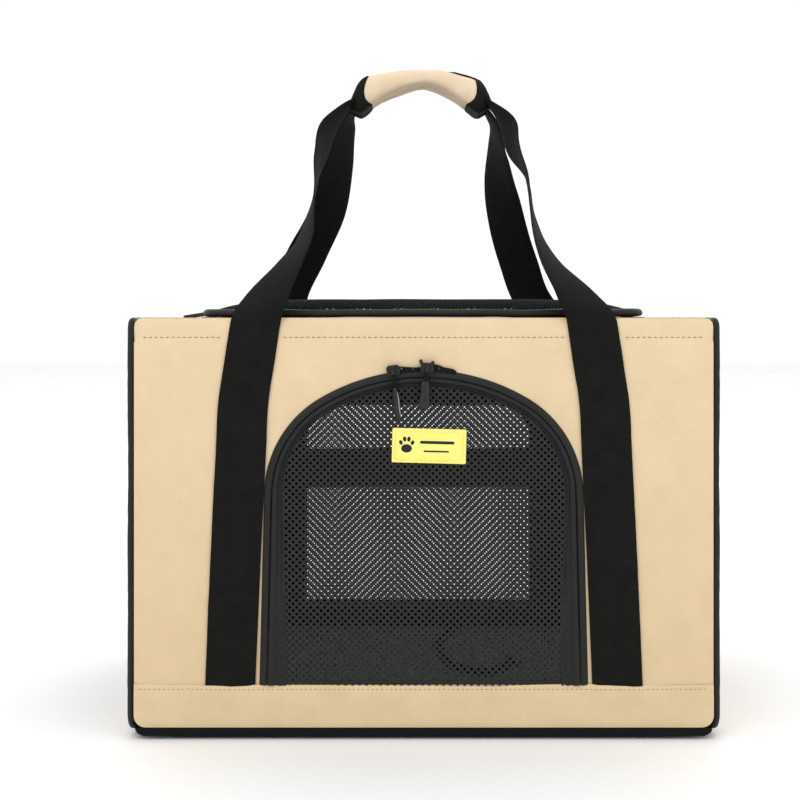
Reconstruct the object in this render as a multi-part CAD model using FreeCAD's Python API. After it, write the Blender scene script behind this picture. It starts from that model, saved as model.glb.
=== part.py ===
import FreeCAD, Part
import math
import os
from FreeCAD import Vector

# Pet transport carrier, millimetres. X is the width (+X on the right of the front view), -Y is the
# front, +Z is up. The origin is on the floor under the middle of the body.

# Body
body_width = 450.0
body_depth = 280.0
body_height = 320.0
corner_radius = 10.0            # lower corners of the front and back walls
top_corner_radius = 7.0
binding_radius = 2.6            # piped edge
fabric = 1.0
foam_thickness = 3.0
lining_thickness = 0.8
hem_height = 15.0               # rolled hem that holds the rod
hem_depth = 7.0
rod_radius = 1.5
rod_clearance = 0.2
rod_end_gap = 4.0
rod_inset = hem_depth / 2 + 0.3 # from the wall's outer face to the rod's middle
band_top = 42.0                 # top edge of the kick band, and foot of the door
band_thickness = 1.2
gap = 0.3                       # between pieces of different bodies
touch = 0.1                     # between sewn pieces of one body

# Base
base_height = 9.5
board_thickness = 3.0
mat_thickness = 12.0
mat_clearance = 4.0

# Doorway and door: a three-centred arch
arch_apex = 280.0
arch_crown_radius = 155.0
arch_haunch_radius = 85.0
arch_half_width = 120.5         # at the springing
arch_lean = math.radians(1.4)
zip_tape_width = 4.2
zip_tape_lap = 3.0              # of the tape over the wall's cut edge
zip_tape_thickness = 1.2
coil_width = 1.2
coil_thickness = 2.2
door_binding_top = 4.0
door_binding_foot = 13.0
door_binding_thickness = 2.4
mesh_thickness = 1.0
label_width = 56.0
label_height = 26.0
label_thickness = 0.8
label_x = 4.0
label_z = 223.0
label_tilt = 1.5                # degrees

# Rear window
window_apex = 240.0
window_half_width = 113.0
window_radius = 38.0
window_foot = 42.0
window_binding_width = 9.0
luggage_band_z = 174.0

# End windows and the flat pocket
end_window_margin = 52.0        # from the body's front and back
end_window_low = 60.0
end_window_high = 268.0
end_window_radius = 30.0
end_binding_width = 8.0
pocket_top = 233.0
pocket_margin = 27.0
pocket_foot = 30.0
pocket_hem = 6.0
pocket_mesh_thickness = 0.7
window_binding_thickness = 0.8

# Lid
lid_side_margin = 52.0          # from the body's ends
lid_front_margin = 20.0         # from the body's front and back
lid_radius = 22.0
lid_rim_width = 7.0
lid_rim_height = 6.0
lid_dome = 11.0
lid_tape_width = 3.0            # of the frame's tape outside the rim
top_panel_drop = 3.0            # of the top panel below the walls' top edge

# Webbing and handles
webbing_width = 38.0
webbing_thickness = 1.8
run_foot_edge = 127.5           # inner edge of the webbing from the middle of the body
run_mid_edge = 117.5
run_mid_z = 256.0
run_head_edge = 108.0
run_head_x = run_head_edge + webbing_width / 2
pivot_drop = 1.0                # of the handles' bend below the top edge
folded_width = 19.0             # of the webbing folded in half inside the grip
grip_half_depth = 21.0
grip_crown_z = 532.0
grip_crown_radius = 135.0
grip_foot_z = 517.5             # of the arch under the grip
grip_foot_radius = 61.0
grip_pad_crown_x = 50.6
grip_pad_foot_x = 43.7
grip_cuff_crown_x = 59.5
grip_cuff_foot_x = 51.0
grip_tape_thickness = 1.2
grip_tape_inset = 3.0           # from the pad's ends
grip_tape_trim = 1.2            # from the pad's crown and foot

# Sliders and pullers
slider_length = 10.0
slider_width = 8.0
slider_height = 3.4
slider_tilt_left = 8.5          # degrees round the arch's crown
slider_tilt_right = -0.9
bridge_height = 2.4
groove_depth = 0.8              # in the plate, where the cord lies over its edge
groove_half_width = 0.8
groove_start = 0.9              # from the slider's middle
cord_gap = 2.6                  # of each cord leg from the middle
loop_radius = 0.9
loop_drop = 12.0
tab_width = 8.0
tab_length = 21.0
tab_thickness = 3.0
loop_drop_left = 18.0
lid_slider_gap = 16.0
lid_slider_y = 40.0
lid_puller_droop = 9.0          # degrees, down to the top panel

# Safety tether
tether_thickness = 6.0
hook_length = 34.0
hook_wire = 3.6
hook_outer = 15.0
gate_clearance = 0.8

front = -body_depth / 2
side = body_width / 2 - 2.5
wall_half_width = body_width / 2 - 2 * binding_radius - touch
wall_thickness = fabric + foam_thickness + lining_thickness
edge_y = body_depth / 2 - 3.5
base_top = base_height
edge_low = base_height / 2 + binding_radius
lid_z = body_height + gap
lid_width = body_width - 2 * lid_side_margin
lid_depth = body_depth - 2 * lid_front_margin
end_window_depth = body_depth - 2 * end_window_margin
pocket_depth = body_depth - 2 * pocket_margin


def box(x0, x1, y0, y1, z0, z1):
    return Part.makeBox(x1 - x0, y1 - y0, z1 - z0, Vector(x0, y0, z0))


def cut(shape, *tools):
    for tool in tools:
        shape = shape.cut(tool)
    return shape


def save(name, shape):
    shape.exportStep(os.path.join("parts", name + ".step"))


def mirror_y(shape):
    return shape.mirror(Vector(0, 0, 0), Vector(0, 1, 0))


def mirror_x(shape):
    return shape.mirror(Vector(0, 0, 0), Vector(1, 0, 0))


def arc(start, middle, end):
    return Part.Arc(start, middle, end).toShape()


def line(start, end):
    return Part.makeLine(start, end)


def prism(wire, direction):
    return Part.Face(wire).extrude(direction)


def rounded_rectangle(u0, u1, v0, v1, radius_low, radius_high, place):
    """A closed outline with its own lower and upper corner radii; place maps (u, v) to a point."""
    corners = [
        (u1, v0, -90, radius_low, -1, 1),
        (u1, v1, 0, radius_high, -1, -1),
        (u0, v1, 90, radius_high, 1, -1),
        (u0, v0, 180, radius_low, 1, 1),
    ]
    arcs = []
    for u, v, start, radius, du, dv in corners:
        centre = (u + du * radius, v + dv * radius)
        points = []
        for angle in (start, start + 45, start + 90):
            turn = math.radians(angle)
            points.append(place(centre[0] + radius * math.cos(turn), centre[1] + radius * math.sin(turn)))
        arcs.append(points)
    edges = []
    for index, points in enumerate(arcs):
        following = arcs[(index + 1) % len(arcs)]
        edges.append(arc(*points))
        edges.append(line(points[2], following[0]))
    return Part.Wire(edges)


def on_front(y):
    return lambda u, v: Vector(u, y, v)


def on_end(x):
    return lambda u, v: Vector(x, u, v)


def on_top(z):
    return lambda u, v: Vector(u, v, z)


def arch_wire(inset, y, foot):
    """The doorway's outline moved inwards by inset: crown, two haunches, two leaning jambs."""
    crown_z = arch_apex - arch_crown_radius
    haunch_x = arch_half_width - arch_haunch_radius
    haunch_z = crown_z + math.sqrt((arch_crown_radius - arch_haunch_radius) ** 2 - haunch_x ** 2)
    meet = math.atan2(haunch_z - crown_z, haunch_x)
    crown = arch_crown_radius - inset
    haunch = arch_haunch_radius - inset

    def on_haunch(angle):
        return (haunch_x + haunch * math.cos(angle), haunch_z + haunch * math.sin(angle))

    spring = on_haunch(arch_lean)
    middle = on_haunch((arch_lean + meet) / 2)
    shoulder = on_haunch(meet)
    foot_x = spring[0] + (spring[1] - foot) * math.tan(arch_lean)

    def point(pair, sign):
        return Vector(sign * pair[0], y, pair[1])

    edges = [line(point((foot_x, foot), -1), point((foot_x, foot), 1))]
    edges.append(line(point((foot_x, foot), 1), point(spring, 1)))
    edges.append(arc(point(spring, 1), point(middle, 1), point(shoulder, 1)))
    edges.append(arc(point(shoulder, 1), Vector(0, y, crown_z + crown), point(shoulder, -1)))
    edges.append(arc(point(shoulder, -1), point(middle, -1), point(spring, -1)))
    edges.append(line(point(spring, -1), point((foot_x, foot), -1)))
    return Part.Wire(edges)


def arch(inset, y0, y1, foot):
    return prism(arch_wire(inset, y0, foot), Vector(0, y1 - y0, 0))


def arch_band(outer, inner, y0, y1, foot):
    """An open band along the arch, between two insets."""
    return arch(outer, y0, y1, foot).cut(arch(inner, y0 - 1, y1 + 1, foot - 20))


def door_opening(y0, y1, foot):
    """The mesh's outline: the binding widens from the crown to the foot."""
    start = zip_tape_width + 2 * coil_width + gap
    crown = arch(start + door_binding_top, y0, y1, foot)
    spring_z = arch_apex - arch_haunch_radius
    half = arch_half_width - start - door_binding_top
    low = half - (door_binding_foot - door_binding_top) + 3.0
    points = [
        (-low, foot), (low, foot), (half, spring_z),
        (half, arch_apex), (-half, arch_apex), (-half, spring_z)]
    outline = Part.makePolygon([Vector(x, y0, z) for x, z in points + points[:1]])
    return crown.common(prism(outline, Vector(0, y1 - y0, 0)))


def window_wire(inset, y):
    half = window_half_width - inset
    foot = window_foot + inset
    return rounded_rectangle(-half, half, foot, window_apex - inset, 6.0, window_radius - inset, on_front(y))


def window(inset, y0, y1):
    return prism(window_wire(inset, y0), Vector(0, y1 - y0, 0))


def wall_outline(y, low, high, inset):
    half = wall_half_width - inset
    return rounded_rectangle(-half, half, low, high, corner_radius, top_corner_radius - inset, on_front(y))


def wall_layer(y0, y1, low, high, inset=0.0):
    return prism(wall_outline(y0, low, high, inset), Vector(0, y1 - y0, 0))


def wall_with_hem(opening):
    """Outer fabric of the front wall, with the hem rolled inwards round the rod's channel."""
    hem = wall_layer(front, front + hem_depth, base_top, body_height)
    below = box(-body_width, body_width, front + fabric, 0, 0, body_height - hem_height)
    channel = Part.makeCylinder(
        rod_radius + rod_clearance, 2 * wall_half_width + 2,
        Vector(-wall_half_width - 1, front + rod_inset, body_height - hem_height / 2), Vector(1, 0, 0))
    return cut(hem, below, channel, opening)


def top_rod():
    half = wall_half_width - rod_end_gap
    start = Vector(-half, front + rod_inset, body_height - hem_height / 2)
    return Part.makeCylinder(rod_radius, 2 * half, start, Vector(1, 0, 0))


def front_wall():
    lap = zip_tape_width - zip_tape_lap
    doorway = arch(zip_tape_lap, front - 1, front + 20, band_top)
    save("front_panel", wall_with_hem(doorway))
    inner_top = body_height - hem_height - touch
    foam = wall_layer(front + fabric, front + fabric + foam_thickness, base_top, inner_top, touch)
    save("front_foam", cut(foam, arch(lap, front - 1, front + 20, band_top)))
    inner = front + wall_thickness
    lining = wall_layer(inner - lining_thickness, inner, base_top, inner_top, touch)
    save("front_lining", cut(lining, arch(lap, front - 1, front + 20, band_top)))
    save("front_top_rod", top_rod())
    save("front_kick_band", kick_band())


def kick_band():
    return wall_layer(front - band_thickness, front, base_top, band_top)


def rear_wall():
    opening = window(0.0, front - 1, front + 20)
    save("rear_panel", mirror_y(wall_with_hem(opening)))
    inner_top = body_height - hem_height - touch
    foam = wall_layer(front + fabric, front + fabric + foam_thickness, base_top, inner_top, touch)
    save("rear_foam", mirror_y(cut(foam, opening)))
    inner = front + wall_thickness
    lining = wall_layer(inner - lining_thickness, inner, base_top, inner_top, touch)
    save("rear_lining", mirror_y(cut(lining, opening)))
    save("rear_top_rod", mirror_y(top_rod()))
    save("rear_kick_band", mirror_y(kick_band()))
    mesh = window(touch, front + fabric, front + fabric + mesh_thickness)
    save("rear_window_mesh", mirror_y(mesh))
    # The binding laps the cut edge of the wall on its outside.
    outer = window(-window_binding_width / 2, front - band_thickness, front)
    binding = cut(outer, window(window_binding_width / 2, front - 5, front + 5))
    binding = cut(binding, box(-body_width, body_width, front - 5, front + 5, 0, band_top + touch))
    save("rear_window_binding", mirror_y(binding))
    # The band lies over the window binding, and is sewn down beside it.
    half = run_mid_edge + 2
    proud = front - band_thickness
    band = box(-half, half, proud - webbing_thickness, proud,
               luggage_band_z - webbing_width / 2, luggage_band_z + webbing_width / 2)
    save("luggage_band", mirror_y(band))


def end_wall(name, with_pocket):
    """One end wall, drawn at +X and mirrored to -X for the left end."""
    place = mirror_x if name == "left" else (lambda shape: shape)
    half = edge_y - binding_radius - touch
    low = edge_low + binding_radius + touch
    high = body_height - 2 * binding_radius - touch
    outline = rounded_rectangle(-half, half, low, high, 10.0, 5.0, on_end(side - fabric))
    panel = prism(outline, Vector(fabric, 0, 0))
    half_window = end_window_depth / 2

    def pane(inset, x0, x1):
        wire = rounded_rectangle(
            -half_window + inset, half_window - inset, end_window_low + inset, end_window_high - inset,
            end_window_radius - inset, end_window_radius - inset, on_end(x0))
        return prism(wire, Vector(x1 - x0, 0, 0))

    save(name + "_side_panel", place(cut(panel, pane(0.0, side - 10, side + 10))))
    save(name + "_window_mesh", place(pane(touch, side - fabric, side - touch)))
    lap = end_binding_width / 2
    binding = cut(pane(-lap, side, side + window_binding_thickness), pane(lap, side - 5, side + 5))
    save(name + "_window_binding", place(binding))
    if with_pocket:
        half_pocket = pocket_depth / 2
        layer = side + window_binding_thickness
        seam = pocket_top - pocket_hem
        wire = rounded_rectangle(-half_pocket, half_pocket, pocket_foot, seam, 10.0, 0.5, on_end(layer))
        save(name + "_pocket", place(prism(wire, Vector(pocket_mesh_thickness, 0, 0))))
        hem = box(layer, layer + band_thickness, -half_pocket, half_pocket, seam + touch, pocket_top)
        save(name + "_pocket_binding", place(hem))
    ring = rounded_rectangle(
        -edge_y, edge_y, edge_low, body_height - binding_radius, 12.0, 6.0,
        on_end(body_width / 2 - binding_radius))
    save(name + "_edge_binding", place(piping(ring)))


def piping(path):
    first = path.Edges[1]
    start = first.valueAt(first.FirstParameter)
    section = Part.Wire(Part.makeCircle(binding_radius, start, first.tangentAt(first.FirstParameter)))
    ordered = Part.Wire(path.Edges[1:] + path.Edges[:1])
    return ordered.makePipeShell([section], True, True)


def base():
    # The pan's floor is flat, and its two ends curl up to the edge bindings.
    half = body_width / 2 - 2 * binding_radius - touch
    curl = base_height - 0.5
    wire = rounded_rectangle(-half, half, 0.0, base_height - touch, curl, 0.2, on_front(front + 1))
    save("base_panel", prism(wire, Vector(0, body_depth - 2, 0)))
    inner = body_depth / 2 - wall_thickness - touch
    board = box(-half + 2, half - 2, -inner, inner, base_top, base_top + board_thickness)
    save("base_board", board)
    mat_half_x = half - mat_clearance
    mat_half_y = inner - mat_clearance
    low = base_top + board_thickness
    mat = box(-mat_half_x, mat_half_x, -mat_half_y, mat_half_y, low, low + mat_thickness)
    upright = [edge for edge in mat.Edges if abs(edge.tangentAt(edge.FirstParameter).z) > 0.9]
    save("base_mat", mat.makeFillet(14.0, upright))


def lid_slab(inset, z0, z1):
    half_x = lid_width / 2 - inset
    half_y = lid_depth / 2 - inset
    radius = lid_radius - inset
    wire = rounded_rectangle(-half_x, half_x, -half_y, half_y, radius, radius, on_top(z0))
    return prism(wire, Vector(0, 0, z1 - z0))


def top():
    low = body_height - top_panel_drop
    behind_hem = front + hem_depth + touch
    outer = box(-wall_half_width + 1, wall_half_width - 1, behind_hem, -behind_hem, low, low + fabric)
    save("top_panel", cut(outer, lid_slab(1.0, body_height - 10, body_height + 10)))
    # The frame's zip tape stands up from the top panel, outside the lid's rim, on three sides.
    low += fabric
    behind = box(-body_width, body_width, lid_depth / 2 - lid_radius, body_depth, 0, 2 * body_height)
    tape = cut(lid_slab(-lid_tape_width, low, low + 1.2), lid_slab(1.0, low - 5, low + 5), behind)
    save("lid_zip_tape", tape)
    coil = cut(lid_slab(-gap - coil_width, low + 1.2, low + 2.6), lid_slab(-gap, low, low + 9), behind)
    save("lid_zip_coil", coil)


def lid():
    rim = cut(lid_slab(0.0, lid_z, lid_z + lid_rim_height), lid_slab(lid_rim_width, lid_z - 5, lid_z + 20))
    save("lid_rim", rim)
    # The mesh is a shallow dome: a thin shell between two stacks of rounded outlines.
    rises = ((0.0, 0.0), (8.0, 0.62), (24.0, 0.9), (60.0, 1.0))
    low = lid_z + lid_rim_height - 1.5
    corner = lid_radius - lid_rim_width + touch

    def dome(drop):
        wires = []
        for inset, share in rises:
            half_x = lid_width / 2 - lid_rim_width - inset - touch
            half_y = lid_depth / 2 - lid_rim_width - inset - touch
            z = low + lid_dome * share - drop
            wires.append(rounded_rectangle(-half_x, half_x, -half_y, half_y, corner, corner, on_top(z)))
        return Part.makeLoft(wires, True, True)

    save("lid_mesh", cut(dome(0.0), dome(mesh_thickness + 0.2)))
    coil = cut(lid_slab(0.6, lid_z - 0.9, lid_z), lid_slab(0.6 + coil_width, lid_z - 5, lid_z + 9))
    behind = box(-body_width, body_width, lid_depth / 2 - lid_radius - 3.0, body_depth, 0, 2 * body_height)
    save("lid_edge_coil", cut(coil, behind))


def door():
    start = zip_tape_width + coil_width
    y_tape = front - zip_tape_thickness
    save("front_zip_tape", arch_band(0.0, zip_tape_width, y_tape, front, band_top + touch))
    coil_low = front - zip_tape_thickness - 0.4
    coil_high = coil_low + coil_thickness
    save("front_zip_coil", arch_band(zip_tape_width, start, coil_low, coil_high, band_top + touch))
    foot = band_top + 0.8
    near = start + gap
    save("door_zip_coil", arch_band(near, near + coil_width, coil_low, coil_high, foot))
    edge = near + coil_width
    low = front - 1.6
    high = low + door_binding_thickness
    save("door_binding", arch(edge, low, high, foot).cut(door_opening(low - 1, high + 1, foot + 2.4)))
    mesh_y = low + (door_binding_thickness - mesh_thickness) / 2
    opening = door_opening(mesh_y, mesh_y + mesh_thickness, foot + 2.4)
    save("door_mesh", opening)
    label = box(-label_width / 2, label_width / 2, mesh_y - label_thickness, mesh_y,
                -label_height / 2, label_height / 2)
    label.rotate(Vector(0, 0, 0), Vector(0, 1, 0), label_tilt)
    label.translate(Vector(label_x, 0, label_z))
    save("door_label", label)


def zip_slider():
    """A slider lying on XZ, travelling along X: a plate grooved for the cord, a bridge with an eye."""
    half = slider_length / 2
    wire = rounded_rectangle(-half, half, -slider_width / 2, slider_width / 2, 2.4, 2.4, on_front(0.0))
    plate = prism(wire, Vector(0, -slider_height, 0))
    bridge = box(-1.3, 1.3, -slider_height - bridge_height, -slider_height + 0.2, -3.0, 3.0)
    eye = box(-2.0, 2.0, -slider_height - bridge_height + 0.9, -slider_height - 0.0, -1.3, 1.3)
    groove_top = -slider_height + groove_depth
    low = cord_gap - groove_half_width
    high = cord_gap + groove_half_width
    right = box(low, high, -slider_height - 1, groove_top, -slider_width, -groove_start)
    left = box(-high, -low, -slider_height - 1, groove_top, -slider_width, -groove_start)
    return cut(plate.fuse(bridge), eye, right, left)


def puller(drop):
    """A cord loop through the slider's eye and the moulded tab on its end, hanging down."""
    y = -slider_height - bridge_height / 2 + 0.45
    legs = []
    points = [
        Vector(-cord_gap, y, 0), Vector(-cord_gap, y, -drop),
        Vector(cord_gap, y, -drop), Vector(cord_gap, y, 0)]
    for start, end in zip(points, points[1:] + points[:1]):
        legs.append(Part.makeCylinder(loop_radius * 0.6, (end - start).Length, start, end - start))
        legs.append(Part.makeSphere(loop_radius * 0.6, start))
    loop = legs[0]
    for leg in legs[1:]:
        loop = loop.fuse(leg)
    wire = rounded_rectangle(
        -tab_width / 2, tab_width / 2, -drop - tab_length, -drop + 1.0, 3.0, 1.6,
        on_front(y + tab_thickness / 2))
    tab = prism(wire, Vector(0, -tab_thickness, 0))
    return Part.makeCompound([loop.cut(tab), tab])


def turned(shape, centre, axis, angle):
    shape = shape.copy()
    shape.rotate(centre, axis, angle)
    return shape


def front_sliders():
    crown_centre = Vector(0, 0, arch_apex - arch_crown_radius)
    seat_y = front - zip_tape_thickness - 0.4 - gap
    sides = (("left", slider_tilt_left, loop_drop_left), ("right", slider_tilt_right, loop_drop))
    for name, angle, drop in sides:
        slider = zip_slider()
        height = arch_apex + slider_width / 2 - 2.2
        slider.translate(Vector(0, seat_y, height))
        slider = turned(slider, crown_centre, Vector(0, 1, 0), -angle)
        save("front_slider_" + name, slider)
        eye = turned(Part.Vertex(Vector(0, seat_y, height)), crown_centre, Vector(0, 1, 0), -angle)
        pull = puller(drop)
        pull.translate(Vector(eye.X, eye.Y, eye.Z))
        save("front_puller_" + name, pull)


def lid_sliders():
    """On the lid's left edge, lying flat on the zip, travelling along Y."""
    x = -lid_width / 2 - slider_width / 2 - gap
    z = body_height + gap + 1.0
    half_gap = lid_slider_gap / 2
    for name, y in (("front", lid_slider_y - half_gap), ("rear", lid_slider_y + half_gap)):
        for kind, shape in (("slider", zip_slider()), ("puller", puller(loop_drop))):
            # Travel along Y, plate facing up, the puller lying outwards along -X.
            shape.rotate(Vector(0, 0, 0), Vector(1, 0, 0), -90)
            shape.rotate(Vector(0, 0, 0), Vector(0, 0, 1), -90)
            shape.translate(Vector(x, y, z))
            eye_z = z + slider_height + bridge_height / 2 - 0.45
            if kind == "puller":
                shape.rotate(Vector(x, y, eye_z), Vector(0, 1, 0), -lid_puller_droop)
            save("lid_" + kind + "_" + name, shape)


def ribbon(stations, thickness):
    """Webbing along a list of (centre, width direction, width): a chain of flat spans."""
    wires = []
    count = len(stations)
    for index, (centre, across, width) in enumerate(stations):
        before = stations[max(index - 1, 0)][0]
        after = stations[min(index + 1, count - 1)][0]
        along = (after - before).normalize()
        across = (across - along * across.dot(along) * (1 - abs(across.x))).normalize()
        normal = along.cross(across)
        half = across * (width / 2)
        up = normal * (thickness / 2)
        corners = [centre - half - up, centre + half - up, centre + half + up, centre - half + up]
        wires.append(Part.makePolygon(corners + corners[:1]))
    return Part.makeLoft(wires, True, True)


def handle_stations(route, turn_start, turn_end):
    """Half of a handle from its foot to the grip's middle, then its mirror image."""
    curve = Part.BSplineCurve()
    curve.interpolate([Vector(*point) for point in route])
    half = []
    steps = 15
    for index in range(steps + 1):
        share = index / steps
        parameter = curve.FirstParameter + share * (curve.LastParameter - curve.FirstParameter)
        centre = curve.value(parameter)
        turn = min(max((centre.z - turn_start) / (turn_end - turn_start), 0.0), 1.0)
        turn = turn * turn * (3 - 2 * turn)
        angle = turn * math.pi / 2
        across = Vector(math.cos(angle), math.sin(angle), 0)
        width = webbing_width + (folded_width - webbing_width) * turn
        half.append((centre, across, width))
    half[0] = (half[0][0], Vector(1, 0, 0), webbing_width)
    mirrored = []
    for centre, across, width in reversed(half[:-1]):
        mirrored.append((Vector(-centre.x, centre.y, centre.z), Vector(across.x, -across.y, 0), width))
    return half + mirrored


def webbing_run():
    head_z = body_height - pivot_drop
    inner = [(run_foot_edge, band_top + touch), (run_mid_edge, run_mid_z), (run_head_edge, head_z)]
    outer = [(x + webbing_width, z) for x, z in reversed(inner)]
    outline = [Vector(x, front, z) for x, z in inner + outer]
    strip = prism(Part.makePolygon(outline + outline[:1]), Vector(0, -webbing_thickness, 0))
    return Part.makeCompound([strip, mirror_x(strip)])


def crown_z(x):
    return grip_crown_z - grip_crown_radius + math.sqrt(grip_crown_radius ** 2 - x * x)


def foot_z(x):
    return grip_foot_z - grip_foot_radius + math.sqrt(grip_foot_radius ** 2 - x * x)


def grip_outline(crown_x, foot_x, y, trim=0.0):
    """An arched band with slanted ends: crown arc above, tighter arc below."""
    crown_end = crown_z(crown_x) - trim
    foot_end = foot_z(foot_x) + trim
    crown_middle = Vector(0, y, grip_crown_z - trim)
    foot_middle = Vector(0, y, grip_foot_z + trim)
    crown = arc(Vector(-crown_x, y, crown_end), crown_middle, Vector(crown_x, y, crown_end))
    foot = arc(Vector(foot_x, y, foot_end), foot_middle, Vector(-foot_x, y, foot_end))
    right = line(Vector(crown_x, y, crown_end), Vector(foot_x, y, foot_end))
    left = line(Vector(-foot_x, y, foot_end), Vector(-crown_x, y, crown_end))
    return Part.Wire([crown, right, foot, left])


def grip_middle(x, y):
    return x, y, (crown_z(x) + foot_z(x)) / 2


def handles():
    """The front handle is drawn; the rear one follows its own route to the same grip."""
    foot_y = front - webbing_thickness - webbing_thickness / 2 - gap
    bend_z = body_height - pivot_drop + 1.2
    inside = -(grip_tape_thickness + gap / 2 + (grip_half_depth - grip_tape_thickness) / 2)
    end_x = (grip_cuff_crown_x + grip_cuff_foot_x) / 2
    grip_route = [
        grip_middle(end_x, inside - 1.5), grip_middle(38.0, inside),
        grip_middle(18.0, inside), grip_middle(0.0, inside)]
    # Each point is x, the share of the way out from the grip to the wall, and z.
    front_route = [
        (run_head_x, 1.0, bend_z), (117.0, 0.925, 337.0), (103.0, 0.79, 365.0), (91.0, 0.66, 395.0),
        (86.0, 0.53, 425.0), (84.0, 0.405, 452.0), (80.0, 0.295, 475.0), (69.0, 0.175, 494.0)]
    rear_route = [
        (run_head_x, 1.0, bend_z), (119.0, 0.925, 337.0), (98.0, 0.76, 380.0), (81.0, 0.56, 420.0),
        (71.0, 0.38, 456.0), (66.0, 0.23, 482.0), (61.0, 0.133, 496.0)]
    for name, route, turn_start, turn_end in (
            ("front", front_route, 345.0, 440.0), ("rear", rear_route, 440.0, 495.0)):
        place = mirror_y if name == "rear" else (lambda shape: shape)
        leaning = [(x, foot_y * share, z) for x, share, z in route]
        stations = handle_stations(leaning + grip_route, turn_start, turn_end)
        webbing = ribbon(stations, webbing_thickness)
        save(name + "_handle_webbing", place(webbing))
        outer_y = -(grip_half_depth + gap / 2)
        inner_y = -(grip_tape_thickness + gap / 2)
        depth = Vector(0, inner_y - outer_y, 0)
        pad = prism(grip_outline(grip_pad_crown_x, grip_pad_foot_x, outer_y), depth)
        cuffs = prism(grip_outline(grip_cuff_crown_x, grip_cuff_foot_x, outer_y), depth)
        apart = grip_outline(grip_pad_crown_x + touch, grip_pad_foot_x + touch, outer_y - 1)
        between = prism(apart, Vector(0, grip_half_depth + 2, 0))
        tape = grip_outline(
            grip_pad_crown_x - grip_tape_inset, grip_pad_foot_x - grip_tape_inset, inner_y, grip_tape_trim)
        save(name + "_grip_pad", place(pad.cut(webbing)))
        save(name + "_grip_cuffs", place(cuffs.cut(between).cut(webbing)))
        save(name + "_grip_tape", place(prism(tape, Vector(0, grip_tape_thickness, 0))))
    save("front_webbing_runs", webbing_run())
    save("rear_webbing_runs", mirror_y(webbing_run()))


def cord_path(points):
    """Straight runs joined by tangent arcs, each as large as its two runs allow."""
    edges = []
    start = points[0]
    for index in range(1, len(points) - 1):
        here = points[index]
        back = (points[index - 1] - here)
        onward = (points[index + 1] - here)
        half_turn = (math.pi - back.getAngle(onward)) / 2
        reach = 0.45 * min(back.Length, onward.Length)
        radius = reach / math.tan(half_turn)
        enter = here + back.normalize() * reach
        leave = here + onward.normalize() * reach
        bisector = (back + onward).normalize()
        middle = here + bisector * (radius / math.cos(half_turn) - radius)
        edges.append(line(start, enter))
        edges.append(arc(enter, middle, leave))
        start = leave
    edges.append(line(start, points[-1]))
    return Part.Wire(edges)


def tether():
    lie = base_top + board_thickness + mat_thickness + tether_thickness / 2 + 0.4
    wall = body_depth / 2 - wall_thickness - 0.2
    route = [
        Vector(35.0, wall, 34.0), Vector(35.0, wall - 14.0, 34.0), Vector(28.0, wall - 34.0, lie + 1.5),
        Vector(21.0, wall - 62.0, lie), Vector(17.0, wall - 91.0, lie), Vector(17.5, wall - 120.0, lie),
        Vector(21.0, wall - 147.0, lie), Vector(29.5, wall - 171.0, lie), Vector(44.0, wall - 187.0, lie),
        Vector(60.0, wall - 185.0, lie), Vector(67.0, wall - 170.0, lie)]
    path = cord_path(route)
    section = Part.Wire(Part.makeCircle(tether_thickness / 2, route[0], route[1] - route[0]))
    tube = path.makePipeShell([section], True, True)
    save("tether_strap", tube)
    snap_hook(route[-1], route[-1] - route[-2], lie)


def snap_hook(end, heading, lie):
    """Drawn along +X from the strap's end: barrel, swivel neck, hook frame, and a sprung gate."""
    barrel = Part.makeCylinder(tether_thickness / 2 + 0.4, 8.0, Vector(0, 0, 0), Vector(1, 0, 0))
    neck = Part.makeCylinder(1.8, 4.0, Vector(8.0, 0, 0), Vector(1, 0, 0))
    half = hook_outer / 2
    place = on_top(-hook_wire / 2)
    outer = prism(rounded_rectangle(12.0 - 0.2, hook_length, -half, half, half - 0.1, half - 0.1,
                                    place), Vector(0, 0, hook_wire))
    inner_half = half - hook_wire
    inner = prism(rounded_rectangle(12.0 + hook_wire, hook_length - hook_wire, -inner_half, inner_half,
                                    inner_half - 0.1, inner_half - 0.1, on_top(-10)), Vector(0, 0, 20))
    gate_start = 12.0 + hook_wire + 2.0
    gate_end = hook_length - hook_wire - 2.0
    opening = box(gate_start, gate_end, inner_half - 1, half + 1, -5, 5)
    frame = outer.cut(inner).cut(opening)
    half_gate = hook_wire / 2 - 0.5
    gate_start += gate_clearance
    gate_end -= gate_clearance
    gate = box(gate_start, gate_end, inner_half + 0.5, half - 0.5, -half_gate, half_gate)
    angle = math.degrees(math.atan2(heading.y, heading.x))
    for name, shape in (("snap_hook", barrel.fuse(neck).fuse(frame)), ("snap_hook_gate", gate)):
        shape.rotate(Vector(0, 0, 0), Vector(0, 0, 1), angle)
        shape.translate(Vector(end.x, end.y, lie))
        save(name, shape)


os.makedirs("parts", exist_ok=True)
base()
front_wall()
rear_wall()
end_wall("left", True)
end_wall("right", False)
top()
lid()
door()
front_sliders()
lid_sliders()
handles()
tether()
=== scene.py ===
import math

import bmesh
import bpy
import numpy as np
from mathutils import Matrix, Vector
from mathutils.geometry import delaunay_2d_cdt


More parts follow.
